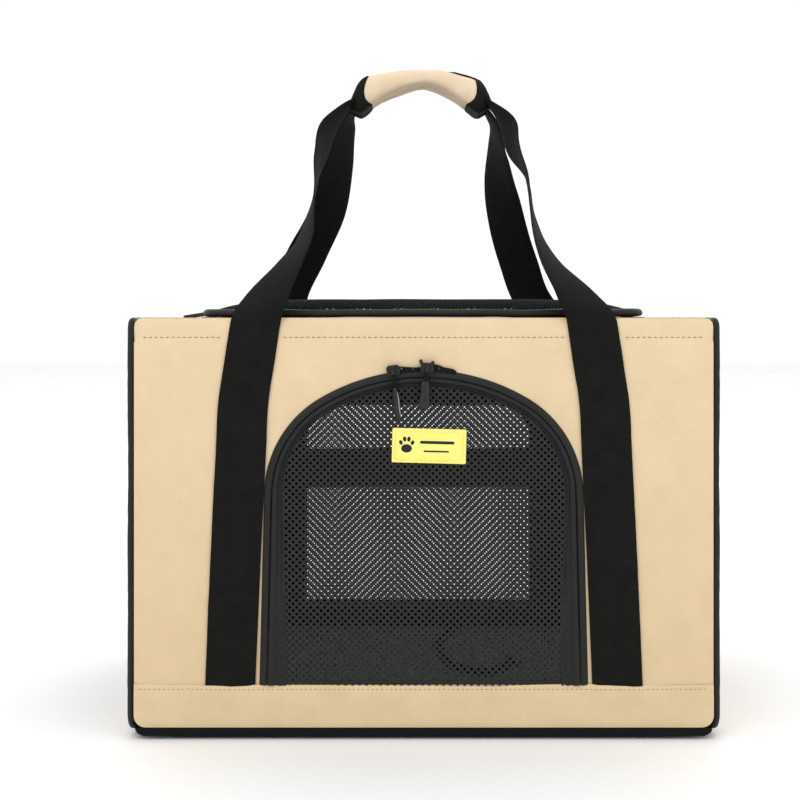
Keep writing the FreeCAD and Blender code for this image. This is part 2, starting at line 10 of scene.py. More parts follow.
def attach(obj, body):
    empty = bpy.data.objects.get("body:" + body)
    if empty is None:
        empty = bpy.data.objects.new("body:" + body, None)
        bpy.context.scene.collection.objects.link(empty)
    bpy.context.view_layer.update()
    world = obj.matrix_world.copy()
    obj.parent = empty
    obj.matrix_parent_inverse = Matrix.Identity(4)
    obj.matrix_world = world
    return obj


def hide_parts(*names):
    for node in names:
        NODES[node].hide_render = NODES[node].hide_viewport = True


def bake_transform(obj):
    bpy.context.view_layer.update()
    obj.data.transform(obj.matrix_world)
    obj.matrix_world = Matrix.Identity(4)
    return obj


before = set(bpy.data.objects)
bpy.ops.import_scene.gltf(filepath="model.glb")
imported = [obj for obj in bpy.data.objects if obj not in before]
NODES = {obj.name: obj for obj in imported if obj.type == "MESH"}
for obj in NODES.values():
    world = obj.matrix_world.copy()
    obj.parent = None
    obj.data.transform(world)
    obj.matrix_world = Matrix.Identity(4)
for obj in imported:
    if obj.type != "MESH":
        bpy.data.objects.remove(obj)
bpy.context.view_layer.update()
MM = 0.001
ROOT = "carrier_body"
TO_RIGHT, TO_FRONT, TO_BACK, UP = (1.0, 0.0, 0.0), (0.0, -1.0, 0.0), (0.0, 1.0, 0.0), (0.0, 0.0, 1.0)


# ---------------------------------------------------------------- camera, light, floor
def placed(name, data):
    """A new object in the scene."""
    made = bpy.data.objects.new(name, data)
    bpy.context.scene.collection.objects.link(made)
    return made


def make_camera():
    """Level with the top edge of the carrier, as in the picture."""
    data = bpy.data.cameras.new("camera")
    data.sensor_width = 36.0
    data.lens = 59.4
    data.shift_y = -0.103
    data.clip_end = 50.0
    camera = placed("camera", data)
    camera.location = (-0.018, -1.14, 0.32)
    camera.rotation_euler = (math.pi / 2, 0, 0)
    bpy.context.scene.camera = camera


def area_light(name, place, target, size, power):
    data = bpy.data.lights.new(name, "AREA")
    data.shape = "RECTANGLE"
    data.size, data.size_y = size
    data.energy = power
    light = placed(name, data)
    light.location = place
    light.rotation_euler = (Vector(target) - Vector(place)).to_track_quat("-Z", "Y").to_euler()


make_camera()
bpy.context.scene.view_settings.view_transform = "Standard"
world = bpy.data.worlds.new("studio")
world.use_nodes = True
backdrop = world.node_tree.nodes["Background"].inputs
backdrop["Color"].default_value = (1.0, 1.0, 1.0, 1.0)
backdrop["Strength"].default_value = 1.03
bpy.context.scene.world = world
area_light("key", (-0.9, -1.6, 1.7), (0, 0, 0.25), (1.2, 1.0), 7.0)
area_light("fill", (1.3, -1.2, 0.9), (0, 0, 0.25), (1.2, 1.2), 2.5)
area_light("behind", (0.2, 1.6, 1.2), (0, 0, 0.2), (1.5, 1.2), 4.0)
area_light("overhead", (0.0, 1.0, 3.2), (0, 1.0, 0.0), (6.0, 6.0), 38.0)


# ---------------------------------------------------------------- materials
THREAD_LAYER = "thread"
# Painted shade towards the bottom of the walls: the darker beige it fades into, and the heights in metres where it
# starts and where it reaches its full share.
PAINTED_SHADE_COLOUR, PAINTED_SHADE_TOP, PAINTED_SHADE_FOOT = (178, 150, 104), 0.30, 0.02
WAVE_SCALE = 0.31416


def srgb(colour):
    """A colour from 0 to 255 as the linear values of a shader, with alpha."""
    shares = [c / 255 / 12.92 if c <= 10 else ((c / 255 + 0.055) / 1.055) ** 2.4 for c in colour]
    return (*shares, 1.0)


def feed(tree, socket, value):
    """Links a socket to another node's output, or sets its value."""
    if isinstance(value, bpy.types.NodeSocket):
        tree.links.new(value, socket)
    else:
        socket.default_value = value


def add(tree, kind, inputs, **settings):
    """The outputs of a new shader node, with its settings and its inputs by name."""
    node = tree.nodes.new("ShaderNode" + kind)
    for setting, value in settings.items():
        setattr(node, setting, value)
    for name, value in inputs.items():
        feed(tree, node.inputs[name], value)
    return node.outputs


def new_material(name, roughness, metallic=0.0, specular=0.35, sheen=0.0):
    material = bpy.data.materials.new(name)
    material.use_nodes = True
    shader = material.node_tree.nodes["Principled BSDF"]
    shader.inputs["Roughness"].default_value = roughness
    shader.inputs["Metallic"].default_value = metallic
    shader.inputs["Specular IOR Level"].default_value = specular
    shader.inputs["Sheen Weight"].default_value = sheen
    return material, material.node_tree, shader


def mix_colour(tree, factor, first, second):
    return add(tree, "Mix", {"Factor": factor, "A": first, "B": second}, data_type="RGBA")["Result"]


def noise(tree, vector, scale, detail=3.0, low=0.35, high=0.65):
    texture = add(tree, "TexNoise", {"Scale": scale, "Detail": detail, "Vector": vector})
    return add(tree, "MapRange", {"From Min": low, "From Max": high, "Value": texture["Fac"]})["Result"]


def wave(tree, vector, direction, pitch):
    """Threads side by side, pitch metres apart."""
    return add(tree, "TexWave", {"Scale": WAVE_SCALE / pitch, "Distortion": 0.4, "Detail": 1.0, "Detail Scale": 0.3,
                                 "Vector": vector}, bands_direction=direction)["Fac"]


def maths(tree, operation, first, second):
    return add(tree, "Math", {0: first, 1: second}, operation=operation)["Value"]


def sum_of(tree, *terms):
    """The sum of outputs, each times its factor."""
    total = None
    for output, factor in terms:
        term = output if factor == 1 else maths(tree, "MULTIPLY", output, factor)
        total = term if total is None else maths(tree, "ADD", total, term)
    return total


def in_object(tree):
    return add(tree, "TexCoord", {})["Object"]


def finish_off(tree, shader, colour, rough, height, strength, depth):
    """Joins colour, roughness and a bump of depth millimetres to the shader."""
    bump = add(tree, "Bump", {"Strength": strength, "Distance": depth * MM, "Height": height})
    for name, value in (("Base Color", colour), ("Roughness", rough), ("Normal", bump["Normal"])):
        feed(tree, shader.inputs[name], value)


def cloth(name, colours, directions, pitch, roughness=0.8, depth=0.12, weave=0.25, mottle=60.0, sheen=0.1,
          second_pitch=None, mapped=False, specular=0.15, painted_shade=0.0):
    """Woven cloth: two crossing sets of threads, slow colour change, fine lint, and, where asked for, painted shade
    that darkens it towards the bottom.
    """
    light, dark = colours
    material, tree, shader = new_material(name, roughness, specular=specular, sheen=sheen)
    place = add(tree, "UVMap", {}, uv_map=THREAD_LAYER)["UV"] if mapped else in_object(tree)
    warp = wave(tree, place, directions[0], pitch)
    weft = wave(tree, place, directions[1], second_pitch or pitch)
    threads = maths(tree, "MULTIPLY", warp, weft)
    where = in_object(tree)
    slow = noise(tree, where, mottle, 4.0, 0.2, 0.8)
    lint = noise(tree, where, 900.0, 2.0, 0.3, 0.7)
    blend = sum_of(tree, (threads, weave), (slow, 0.45), (lint, 0.3))
    colour = mix_colour(tree, blend, srgb(dark), srgb(light))
    # Painted shade: mixes the cloth towards a darker brownish beige lower down, in place of the shade near the floor.
    if painted_shade:
        height = add(tree, "SeparateXYZ", {"Vector": where})["Z"]
        low = add(tree, "MapRange", {"From Min": PAINTED_SHADE_TOP, "From Max": PAINTED_SHADE_FOOT, "To Max": painted_shade, "Value": height})
        colour = mix_colour(tree, low["Result"], colour, srgb(PAINTED_SHADE_COLOUR))
    rough = maths(tree, "ADD", maths(tree, "MULTIPLY", slow, 0.12), roughness - 0.08)
    finish_off(tree, shader, colour, rough, sum_of(tree, (threads, 1), (lint, 0.35)), 0.6, depth)
    return material


def moulded(name, light, dark, roughness, metallic=0.0, scale=250.0, depth=0.03, specular=0.4):
    """Moulded plastic, rubber or plated metal: fine grain, small scuffs and patches of wear."""
    material, tree, shader = new_material(name, roughness, metallic, specular)
    place = in_object(tree)
    patches = noise(tree, place, scale, 5.0)
    grain = noise(tree, place, scale * 9, 2.0, 0.3, 0.7)
    colour = mix_colour(tree, sum_of(tree, (patches, 0.6), (grain, 0.4)), srgb(dark), srgb(light))
    rough = maths(tree, "ADD", maths(tree, "MULTIPLY", patches, 0.22), roughness - 0.1)
    finish_off(tree, shader, colour, rough, grain, 0.5, depth)
    return material


BEIGE = ((228, 206, 172), (212, 189, 152))
INK = ((31, 30, 29), (9, 9, 9))
# Name: light and dark colour, directions and pitch (m) of the threads, then what differs from cloth()'s defaults,
# in its order.
CLOTHS = {
    # The walls' last value, 0.22, is the share of painted shade at their foot.
    "beige_front": (BEIGE, "XZ", 0.0007, 0.8, 0.12, 0.25, 60.0, 0.1, None, False, 0.15, 0.22),
    "beige_side": (BEIGE, "YZ", 0.0007, 0.8, 0.12, 0.25, 60.0, 0.1, None, False, 0.15, 0.22),
    "beige_top": (BEIGE, "XY", 0.0007),
    "beige_band": (((222, 201, 163), (203, 181, 143)), "XZ", 0.0007, 0.8, 0.12, 0.25, 45.0),
    "beige_grip": (((233, 213, 186), (216, 194, 164)), "XZ", 0.0007),
    "stitch": (((158, 118, 78), (112, 78, 48)), "XZ", 0.0004, 0.8, 0.12, 0.5),
    "webbing": (INK, "XY", 0.0011, 0.8, 0.35, 0.55, 80.0, 0.0, 0.0024, True, 0.08),
    "binding": (((33, 33, 31), (12, 12, 12)), "XY", 0.0008, 0.5, 0.12, 0.45, 80.0, 0.03, 0.0016, True, 0.25),
    "cuff": (((30, 30, 29), (10, 10, 10)), "XY", 0.0011, 0.75, 0.25, 0.5, 80.0, 0.0, 0.002, True, 0.1),
    "lining": (((28, 28, 27), (14, 14, 13)), "XZ", 0.0006, 0.7, 0.1, 0.3),
    "base_cloth": (((15, 14, 13), (6, 6, 6)), "XY", 0.0008, 0.7, 0.15, 0.4, 60.0, 0.0),
    "mesh": (((44, 44, 42), (16, 16, 15)), "XZ", 0.0005, 0.45, 0.05, 0.5, 150.0, 0.0, None, False, 0.25),
    "lid_mesh": (((22, 22, 21), (7, 7, 7)), "XY", 0.0005, 0.8, 0.05, 0.5, 150.0, 0.0, None, False, 0.08),
    "mat": (((132, 132, 129), (98, 98, 95)), "XY", 0.0012, 0.9, 0.3, 0.5, 40.0, 0.2),
    "hook_and_loop": (INK, "XZ", 0.0013, 0.95, 0.5, 0.6),
    "label": (((244, 240, 140), (230, 224, 112)), "XZ", 0.0006, 0.75, 0.06, 0.3),
    "label_edge": (((240, 232, 96), (206, 196, 70)), "XZ", 0.0006, 0.75, 0.1, 0.5),
    "print": (((44, 46, 52), (26, 27, 32)), "XZ", 0.0006, 0.7, 0.05, 0.3),
}
# Name: light and dark colour, roughness, then moulded()'s other settings in its order.
MOULDED = {
    "foam": ((232, 230, 222), (196, 192, 180), 0.9, 0.0, 900.0, 0.2, 0.1),
    "board": ((92, 90, 86), (60, 58, 55), 0.6),
    "steel": ((190, 192, 194), (120, 122, 124), 0.3, 1.0, 300.0),
    "slider": ((48, 48, 47), (16, 16, 16), 0.32, 0.6, 400.0, 0.02, 0.5),
    "rubber": ((26, 26, 25), (9, 9, 9), 0.38, 0.0, 350.0, 0.04),
    # A light grey used as a painted highlight along the edge of the left zip pull's tab.
    "painted_highlight": ((150, 150, 147), (104, 104, 102), 0.4, 0.0, 350.0, 0.04),
    "coil": ((36, 36, 35), (12, 12, 12), 0.35, 0.0, 500.0),
    "hook_metal": ((70, 70, 70), (30, 30, 30), 0.3, 1.0, 300.0),
}
FINISH = {name: cloth(name, *row) for name, row in CLOTHS.items()}
FINISH.update({name: moulded(name, *row) for name, row in MOULDED.items()})


# ---------------------------------------------------------------- shape helpers (millimetres)
# Edges between faces at more than these angles, in degrees, stay sharp.
CREASE, SWEEP_CREASE, GRIP_CREASE, NET_CREASE = 40.0, 50.0, 55.0, 60.0


def piece(name, points, faces, finish, body, replaced=(), thread=None, crease=CREASE):
    """A mesh from points in millimetres, riding on a body. Without a body, it is left unattached."""
    mesh = bpy.data.meshes.new(name)
    mesh.from_pydata((np.asarray(points, float) * MM).tolist(), [], [tuple(int(i) for i in f) for f in faces])
    mesh.validate()
    mesh.update()
    if thread is not None:
        layer = mesh.uv_layers.new(name=THREAD_LAYER)
        index = np.zeros(len(mesh.loops), np.int32)
        mesh.loops.foreach_get("vertex_index", index)
        layer.data.foreach_set("uv", (np.asarray(thread, float)[index] * MM).ravel().astype(np.float32))
    mesh.materials.append(FINISH[finish])
    made = placed(name, mesh)
    mesh.shade_smooth()
    mesh.set_sharp_from_angle(angle=math.radians(crease))
    if body:
        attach(made, body)
    if replaced:
        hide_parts(*replaced)
    return made


def ripple(u, v, length, seed, terms=7):
    """A smooth irregular surface between -1 and 1, about length between its crests."""
    rng = np.random.default_rng(seed)
    total = np.zeros(np.shape(u))
    for _ in range(terms):
        angle, phase, stretch = rng.uniform(0, 2 * math.pi), rng.uniform(0, 2 * math.pi), rng.uniform(0.7, 1.5)
        total += np.sin(2 * math.pi * (u * math.cos(angle) + v * math.sin(angle)) / (length * stretch) + phase)
    return total / math.sqrt(terms) / 1.5


def ease(value, low, high):
    """0 below low, 1 above high, and smooth between them."""
    share = np.clip((value - low) / (high - low), 0, 1)
    return share * share * (3 - 2 * share)


def rounding(edge, radius):
    """The height of a rounded edge of unit height, by the distance from the edge."""
    return np.sqrt(np.clip(1 - (1 - np.clip(edge, 0, radius) / radius) ** 2, 0, 1))


def arc_length(path):
    """The length of a path up to each of its points."""
    return np.concatenate(((0,), np.cumsum(np.linalg.norm(np.diff(path, axis=0), axis=1))))


def skin(rings, around, start=0, closed=False):
    """Faces that join rings of points, with caps at both ends unless the skin is closed."""
    faces = []
    for i in range(rings if closed else rings - 1):
        a, b = start + i * around, start + (i + 1) % rings * around
        faces += [(a + j, a + (j + 1) % around, b + (j + 1) % around, b + j) for j in range(around)]
    if not closed:
        faces.append(tuple(reversed(range(start, start + around))))
        faces.append(tuple(range(start + (rings - 1) * around, start + rings * around)))
    return faces


def rounded_loop(u0, u1, v0, v1, low, high, step=4.0):
    """Points and outward normals round a rectangle with low and high corner radii, anticlockwise."""
    points, normals = [], []
    corners = ((u1 - low, v0 + low, low, -90), (u1 - high, v1 - high, high, 0),
               (u0 + high, v1 - high, high, 90), (u0 + low, v0 + low, low, 180))
    for u, v, radius, start in corners:
        count = max(3, int(radius * 1.57 / step) + 1)
        for angle in np.radians(np.linspace(start, start + 90, count + 1)):
            normal = np.array((math.cos(angle), math.sin(angle)))
            points.append(np.array((u, v)) + radius * normal)
            normals.append(normal)
    full, full_normals = [], []
    for index, point in enumerate(points):
        nxt = points[(index + 1) % len(points)]
        parts = max(1, int(round(np.linalg.norm(nxt - point) / step)))
        for part in range(parts):
            full.append(point + (nxt - point) * part / parts)
            blended = normals[index] + (normals[(index + 1) % len(points)] - normals[index]) * part / parts
            full_normals.append(blended / np.linalg.norm(blended))
    return np.array(full), np.array(full_normals)


# The doorway: a crown arc, a haunch arc at each side, and jambs that lean out a little.
APEX, CROWN_R, HAUNCH_R, HALF, LEAN = 280.0, 155.0, 85.0, 120.5, math.radians(1.4)
DOOR_FOOT, ARCH_STEP = 42.0, 4.0
WALL_Y = 140.0


def arch_path(inset, step, foot=DOOR_FOOT):
    """The doorway from the left foot over the crown to the right foot: points and outward normals."""
    crown_z, haunch_x = APEX - CROWN_R, HALF - HAUNCH_R
    haunch_z = crown_z + math.sqrt((CROWN_R - HAUNCH_R) ** 2 - haunch_x ** 2)
    meet = math.atan2(haunch_z - crown_z, haunch_x)
    rows = []
    spring = np.array((haunch_x + HAUNCH_R * math.cos(LEAN), haunch_z + HAUNCH_R * math.sin(LEAN)))
    down = np.array((math.sin(LEAN), -math.cos(LEAN)))
    length = (spring[1] - foot) / math.cos(LEAN)
    side_normal = (math.cos(LEAN), math.sin(LEAN))
    for t in np.linspace(length, 0, int(length / step) + 1)[:-1]:
        rows.append((*(spring + down * t), *side_normal))
    for angle in np.linspace(LEAN, meet, int(HAUNCH_R * (meet - LEAN) / step) + 1)[:-1]:
        c, s = math.cos(angle), math.sin(angle)
        rows.append((haunch_x + HAUNCH_R * c, haunch_z + HAUNCH_R * s, c, s))
    for angle in np.linspace(meet, math.pi / 2, int(CROWN_R * (math.pi / 2 - meet) / step) + 1):
        c, s = math.cos(angle), math.sin(angle)
        rows.append((CROWN_R * c, crown_z + CROWN_R * s, c, s))
    right = np.array(rows)
    left = right.copy()
    left[:, 0] *= -1
    left[:, 2] *= -1
    full = np.vstack((left, right[::-1][1:]))
    return full[:, :2] - inset * full[:, 2:], full[:, 2:]


def arch_outline(inset, foot):
    """The doorway as a closed loop, with points along its foot too."""
    path, _ = arch_path(inset, ARCH_STEP, foot)
    count = int((path[-1, 0] - path[0, 0]) / ARCH_STEP)
    floor = np.column_stack((np.linspace(path[-1, 0], path[0, 0], count + 1)[1:-1], np.full(count - 1, foot)))
    return np.vstack((path, floor))


def inside(points, loop):
    """Which points lie inside a closed loop."""
    x, y = points[:, 0][:, None], points[:, 1][:, None]
    ax, ay = loop[:, 0][None], loop[:, 1][None]
    bx, by = np.roll(loop[:, 0], -1)[None], np.roll(loop[:, 1], -1)[None]
    crosses = (ay > y) != (by > y)
    with np.errstate(divide="ignore", invalid="ignore"):
        where = ax + (y - ay) * (bx - ax) / (by - ay)
    return (np.sum(crosses & (x < where), axis=1) % 2) == 1


def distance(points, loop):
    """Distance from each point to a closed loop."""
    best = np.full(len(points), 1e9)
    for first, second in zip(loop, np.roll(loop, -1, axis=0)):
        run = second - first
        share = np.clip(((points - first) @ run) / max(run @ run, 1e-9), 0, 1)
        best = np.minimum(best, np.linalg.norm(points - first - share[:, None] * run, axis=1))
    return best


def sheet_of(outline, holes, pitch):
    """Triangles of a flat sheet with holes: points, triangles, and the open edges' loops."""
    low, high = outline.min(0), outline.max(0)
    grid = np.array([(u, v) for u in np.arange(low[0], high[0], pitch) for v in np.arange(low[1], high[1], pitch)])
    keep = inside(grid, outline)
    for hole in holes:
        keep &= ~inside(grid, hole)
    grid = grid[keep]
    near = distance(grid, outline)
    for hole in holes:
        near = np.minimum(near, distance(grid, hole))
    grid = grid[near > pitch * 0.45]
    loops = [outline] + list(holes)
    points = np.vstack(loops + [grid])
    edges, start = [], 0
    for loop in loops:
        edges += [(start + i, start + (i + 1) % len(loop)) for i in range(len(loop))]
        start += len(loop)
    result = delaunay_2d_cdt([Vector(p) for p in points.tolist()], edges, [], 0, 1e-6)
    points, triangles = np.array([tuple(v) for v in result[0]]), np.array([list(f) for f in result[2]])
    middle = points[triangles].mean(1)
    keep = inside(middle, outline)
    for hole in holes:
        keep &= ~inside(middle, hole)
    triangles = triangles[keep]
    a, b, c = (points[triangles[:, i]] for i in range(3))
    turn = (b[:, 0] - a[:, 0]) * (c[:, 1] - a[:, 1]) - (b[:, 1] - a[:, 1]) * (c[:, 0] - a[:, 0])
    triangles[turn < 0] = triangles[turn < 0][:, ::-1]
    return points, triangles


def open_edges(triangles):
    """Directed edges that only one face has."""
    seen = dict.fromkeys((int(face[i - 1]), int(face[i])) for face in triangles for i in (1, 2, 0))
    return [edge for edge in seen if edge[::-1] not in seen]


def panel(name, outline, holes, pitch, put, over, under, finish, body, replaced=()):
    """A closed sheet. Each face's height is a number, or a function of its points; put() places it."""
    points, triangles = sheet_of(outline, holes, pitch)
    count = len(points)
    top, bottom = (put(points, face(points) if callable(face) else np.full(count, face)) for face in (over, under))
    faces = [tuple(t) for t in triangles] + [tuple(count + i for i in reversed(t)) for t in triangles]
    faces += [(b, a, a + count, b + count) for a, b in open_edges(triangles)]
    return outward(piece(name, np.vstack((top, bottom)), faces, finish, body, replaced))


def outward(made):
    """Turns all faces of a closed mesh outwards."""
    work = bmesh.new()
    work.from_mesh(made.data)
    bmesh.ops.recalc_face_normals(work, faces=work.faces)
    work.to_mesh(made.data)
    work.free()
    return made


def sweep(name, path, first, second, sections, finish, body, replaced=(), closed=False):
    """Sections in the plane of two directions along a path. Each may be one for all stations, or one for each."""
    stations, around = len(path), np.shape(sections)[-2]
    sections = np.broadcast_to(sections, (stations, around, 2))
    first, second = (np.broadcast_to(direction, (stations, 3)) for direction in (first, second))
    points = path[:, None] + first[:, None] * sections[:, :, :1] + second[:, None] * sections[:, :, 1:]
    girth = arc_length(sections[0])
    thread = np.array([(g, r) for r in arc_length(path) for g in girth])
    faces = skin(stations, around, closed=closed)
    return outward(piece(name, points.reshape(-1, 3), faces, finish, body, replaced, thread, SWEEP_CREASE))


def oval(width, height, count=12, squareness=1.0):
    """An ellipse, or a rounded rectangle when squareness is below 1."""
    angle = np.linspace(0, 2 * math.pi, count, endpoint=False)
    c, s = np.cos(angle), np.sin(angle)
    return np.column_stack((width / 2 * np.sign(c) * np.abs(c) ** squareness,
                            height / 2 * np.sign(s) * np.abs(s) ** squareness))


def lattice(name, loop, low, high, pitch, row, hole, thickness, put, finish, body, replaced=(), sides=8):
    """Knitted mesh inside a loop: a diagonal net with holes of 8 or 4 sides. put(points, w) places it."""
    nu, nv = int((high[0] - low[0]) / pitch) + 2, int((high[1] - low[1]) / row) + 2
    j, i = (a.ravel() for a in np.meshgrid(np.arange(nv), np.arange(nu), indexing="ij"))
    key = np.column_stack((2 * i + (j & 1), j))
    centre = np.column_stack((low[0] + key[:, 0] * pitch / 2, low[1] + key[:, 1] * row))
    chosen = inside(centre, loop)
    key, centre = key[chosen], centre[chosen]
    count = len(key)
    steps = np.array(((1, 0), (0, 1), (-1, 0), (0, -1)))
    corner_keys = (key[:, None] + steps[None]).reshape(-1, 2)
    unique, index = np.unique(corner_keys, axis=0, return_inverse=True)
    index = index.ravel().reshape(count, 4)
    knots = np.column_stack((low[0] + unique[:, 0] * pitch / 2, low[1] + unique[:, 1] * row))
    each = sides // 4
    angles = np.radians(90 / each * (np.arange(sides) - (each - 1) + 0.5))
    radius = (hole(centre) if callable(hole) else np.full(count, hole)) / 2
    rims = centre[:, None] + radius[:, None, None] * np.column_stack((np.cos(angles), np.sin(angles)))[None]
    flat = np.vstack((knots, rims.reshape(-1, 2)))
    total = len(flat)
    swell = np.concatenate((np.full(len(knots), thickness * 0.72), np.full(count * sides, thickness * 0.38)))
    rim = len(knots) + sides * np.arange(count)[:, None] + np.arange(sides)[None]
    faces = []
    for c in range(4):
        this, after = index[:, c], index[:, (c + 1) % 4]
        if each == 2:
            faces += np.column_stack((this, rim[:, 2 * c + 1], rim[:, 2 * c])).tolist()
            faces += np.column_stack((this, after, rim[:, (2 * c + 2) % 8], rim[:, 2 * c + 1])).tolist()
        else:
            faces += np.column_stack((this, rim[:, c], rim[:, c - 1])).tolist()
            faces += np.column_stack((this, after, rim[:, c])).tolist()
    edges = np.vstack([index[:, (c, (c + 1) % 4)] for c in range(4)]).astype(np.int64)
    rimless = edges[~np.isin(edges[:, 0] * total + edges[:, 1], edges[:, 1] * total + edges[:, 0])]
    pairs = [(rim[:, k], rim[:, (k + 1) % sides]) for k in range(sides)] + [(rimless[:, 1], rimless[:, 0])]
    walls = [np.column_stack((a, b, b + total, a + total)) for a, b in pairs]
    faces += [[v + total for v in reversed(face)] for face in faces] + np.vstack(walls).tolist()
    points = np.vstack((put(flat, swell), put(flat, -swell)))
    return outward(piece(name, points, faces, finish, body, replaced, crease=NET_CREASE))


def stitches(name, path, normal, pitch, length, width, finish, body, closed=False):
    """A row of thread stitches: small rounded bars along a path, each dipping at its ends."""
    path = np.asarray(path, float)
    if closed:
        path = np.vstack((path, path[:1]))
    run = arc_length(path)
    points, faces = [], []
    normal = np.asarray(normal, float)
    for start in np.arange(pitch * 0.3, run[-1] - length, pitch):
        ends = [np.array([np.interp(start + t * length, run, path[:, k]) for k in range(3)]) for t in (0, 0.5, 1)]
        along = (ends[2] - ends[0]) / np.linalg.norm(ends[2] - ends[0])
        across = np.cross(normal, along)
        faces += skin(3, 6, len(points))
        for end, lift, size in zip(ends, (-0.1, 0.32, -0.1), (0.6, 1.0, 0.6)):
            for turn in range(6):
                angle = turn * math.pi / 3
                points.append(end + normal * (lift + width / 2 * size * math.sin(angle))
                              + across * width / 2 * size * math.cos(angle))
    return outward(piece(name, points, faces, finish, body))


def on_front(points, height):
    """u, v and a height outwards from the front wall's outer face."""
    return np.column_stack((points[:, 0], -WALL_Y - height, points[:, 1]))


def on_rear(points, height):
    return np.column_stack((points[:, 0], WALL_Y + height, points[:, 1]))


def on_top(points, height):
    return np.column_stack((points[:, 0], points[:, 1], height))


# ---------------------------------------------------------------- tether cord
TETHER = ((0.035, 0.135, 0.034), (0.035, 0.121, 0.034), (0.028, 0.101, 0.0294), (0.021, 0.073, 0.0279),
          (0.017, 0.044, 0.0279), (0.0175, 0.015, 0.0279), (0.021, -0.012, 0.0279), (0.0295, -0.036, 0.0279),
          (0.044, -0.052, 0.0279), (0.060, -0.050, 0.0279), (0.067, -0.035, 0.0279))


def make_tether():
    """The safety tether, from the rear wall over the mat to the barrel of the snap hook."""
    curve = bpy.data.curves.new("tether_cord", "CURVE")
    curve.dimensions = "3D"
    curve.bevel_depth = 0.0029
    curve.bevel_resolution = 4
    curve.resolution_u = 16
    curve.use_fill_caps = True
    spline = curve.splines.new("NURBS")
    spline.points.add(len(TETHER) - 1)
    for point, place in zip(spline.points, TETHER):
        point.co = (*place, 1.0)
    spline.order_u = 3
    spline.use_endpoint_u = True
    curve.materials.append(FINISH["cuff"])
    cord = placed("tether_cord", curve)
    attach(cord, ROOT)
    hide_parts("tether_strap")


make_tether()


# ---------------------------------------------------------------- walls
WALL_X, WALL_LOW, WALL_HIGH = 219.7, 9.5, 320.0
HEM_Z, HEM_SPANS = 305.0, ((-217, -149), (-110, 110), (149, 217))
KICK_TOP, KICK_STITCH_DROP, STITCH_END = 42.0, 3.2, 217
STRAP_LINE = ((42.0, 146.5), (256.0, 136.5), (319.0, 127.0))
STRAP_HALF = 19.0
ARCH_LOOP = arch_outline(0.0, DOOR_FOOT - 3.0)
WINDOW_LOOP, WINDOW_NORMAL = rounded_loop(-113, 113, 42, 240, 6, 38)


def strap_x(z):
    """The middle of a strap on the wall, by height."""
    return np.interp(z, [p[0] for p in STRAP_LINE], [p[1] for p in STRAP_LINE])


def wall_relief(points, loop, seed):
    """How far the padded wall stands out: drawn in at its seams, slack and wrinkled between them."""
    u, v = points[:, 0], points[:, 1]
    edge = np.minimum(np.minimum(WALL_X - np.abs(u), v - 30.0), WALL_HIGH - v)
    gate = distance(points, loop)
    soft = (1 - np.exp(-np.clip(edge, 0, None) / 22)) * (1 - np.exp(-gate / 16))
    high = 0.9 * soft
    high += (1.2 * ripple(u, v, 105, seed) + 0.85 * ripple(u * 1.5, v * 0.6, 52, seed + 1)) * soft
    high += 0.5 * ripple(u + v * 0.8, v * 0.2, 34, seed + 5) * soft * ease(v, 90, 240)
    high += 0.18 * ripple(u, v, 17, seed + 6) * soft
    strap = np.abs(np.abs(u) - strap_x(v)) - STRAP_HALF
    tug = np.exp(-np.clip(strap, 0, None) / 10) * (strap > -2)
    high += 0.6 * tug * ripple(u * 0.35, v, 18, seed + 2) * soft
    hem = np.abs(v - HEM_Z)
    high -= 0.55 * np.exp(-(hem / 2.2) ** 2)
    high += 0.3 * np.exp(-hem / 9) * ripple(u, v * 0.3, 10, seed + 3)
    sides = WALL_X - np.abs(u)
    high += 0.6 * np.exp(-sides / 11) * ripple(u * 0.3, v, 21, seed + 4) * soft
    return high


def wall_over(points, loop, seed):
    """The relief, rolled over at the outer edges."""
    u, v = points[:, 0], points[:, 1]
    edge = np.minimum(np.minimum(WALL_X - np.abs(u), v - WALL_LOW), WALL_HIGH - v)
    return wall_relief(points, loop, seed) - 1.6 * (1.0 - rounding(edge, 3.0))


def wall_under(points):
    """The inner face, deeper in the hem, where the rod is."""
    hem = ease(points[:, 1], HEM_Z - 1.5, HEM_Z + 1.0) * (1 - ease(points[:, 1], 317.5, 320.0))
    return -0.9 - 5.9 * hem


WALL_LOOP, _ = rounded_loop(-WALL_X, WALL_X, WALL_LOW, WALL_HIGH, 10, 7)
DOOR_HOLE = arch_outline(3.0, DOOR_FOOT)
# Side: the wall's opening, the seam round it, where it's placed, the way out of it, and the relief's seed.
WALLS = {"front": (DOOR_HOLE, ARCH_LOOP, on_front, TO_FRONT, 11),
         "rear": (WINDOW_LOOP, WINDOW_LOOP, on_rear, TO_BACK, 37)}
for side, (hole, seam, put, _, seed) in WALLS.items():
    panel(f"{side}_wall", WALL_LOOP, [hole], 4.0, put, lambda p: wall_over(p, seam, seed), wall_under,
          "beige_front", ROOT, (f"{side}_panel",))


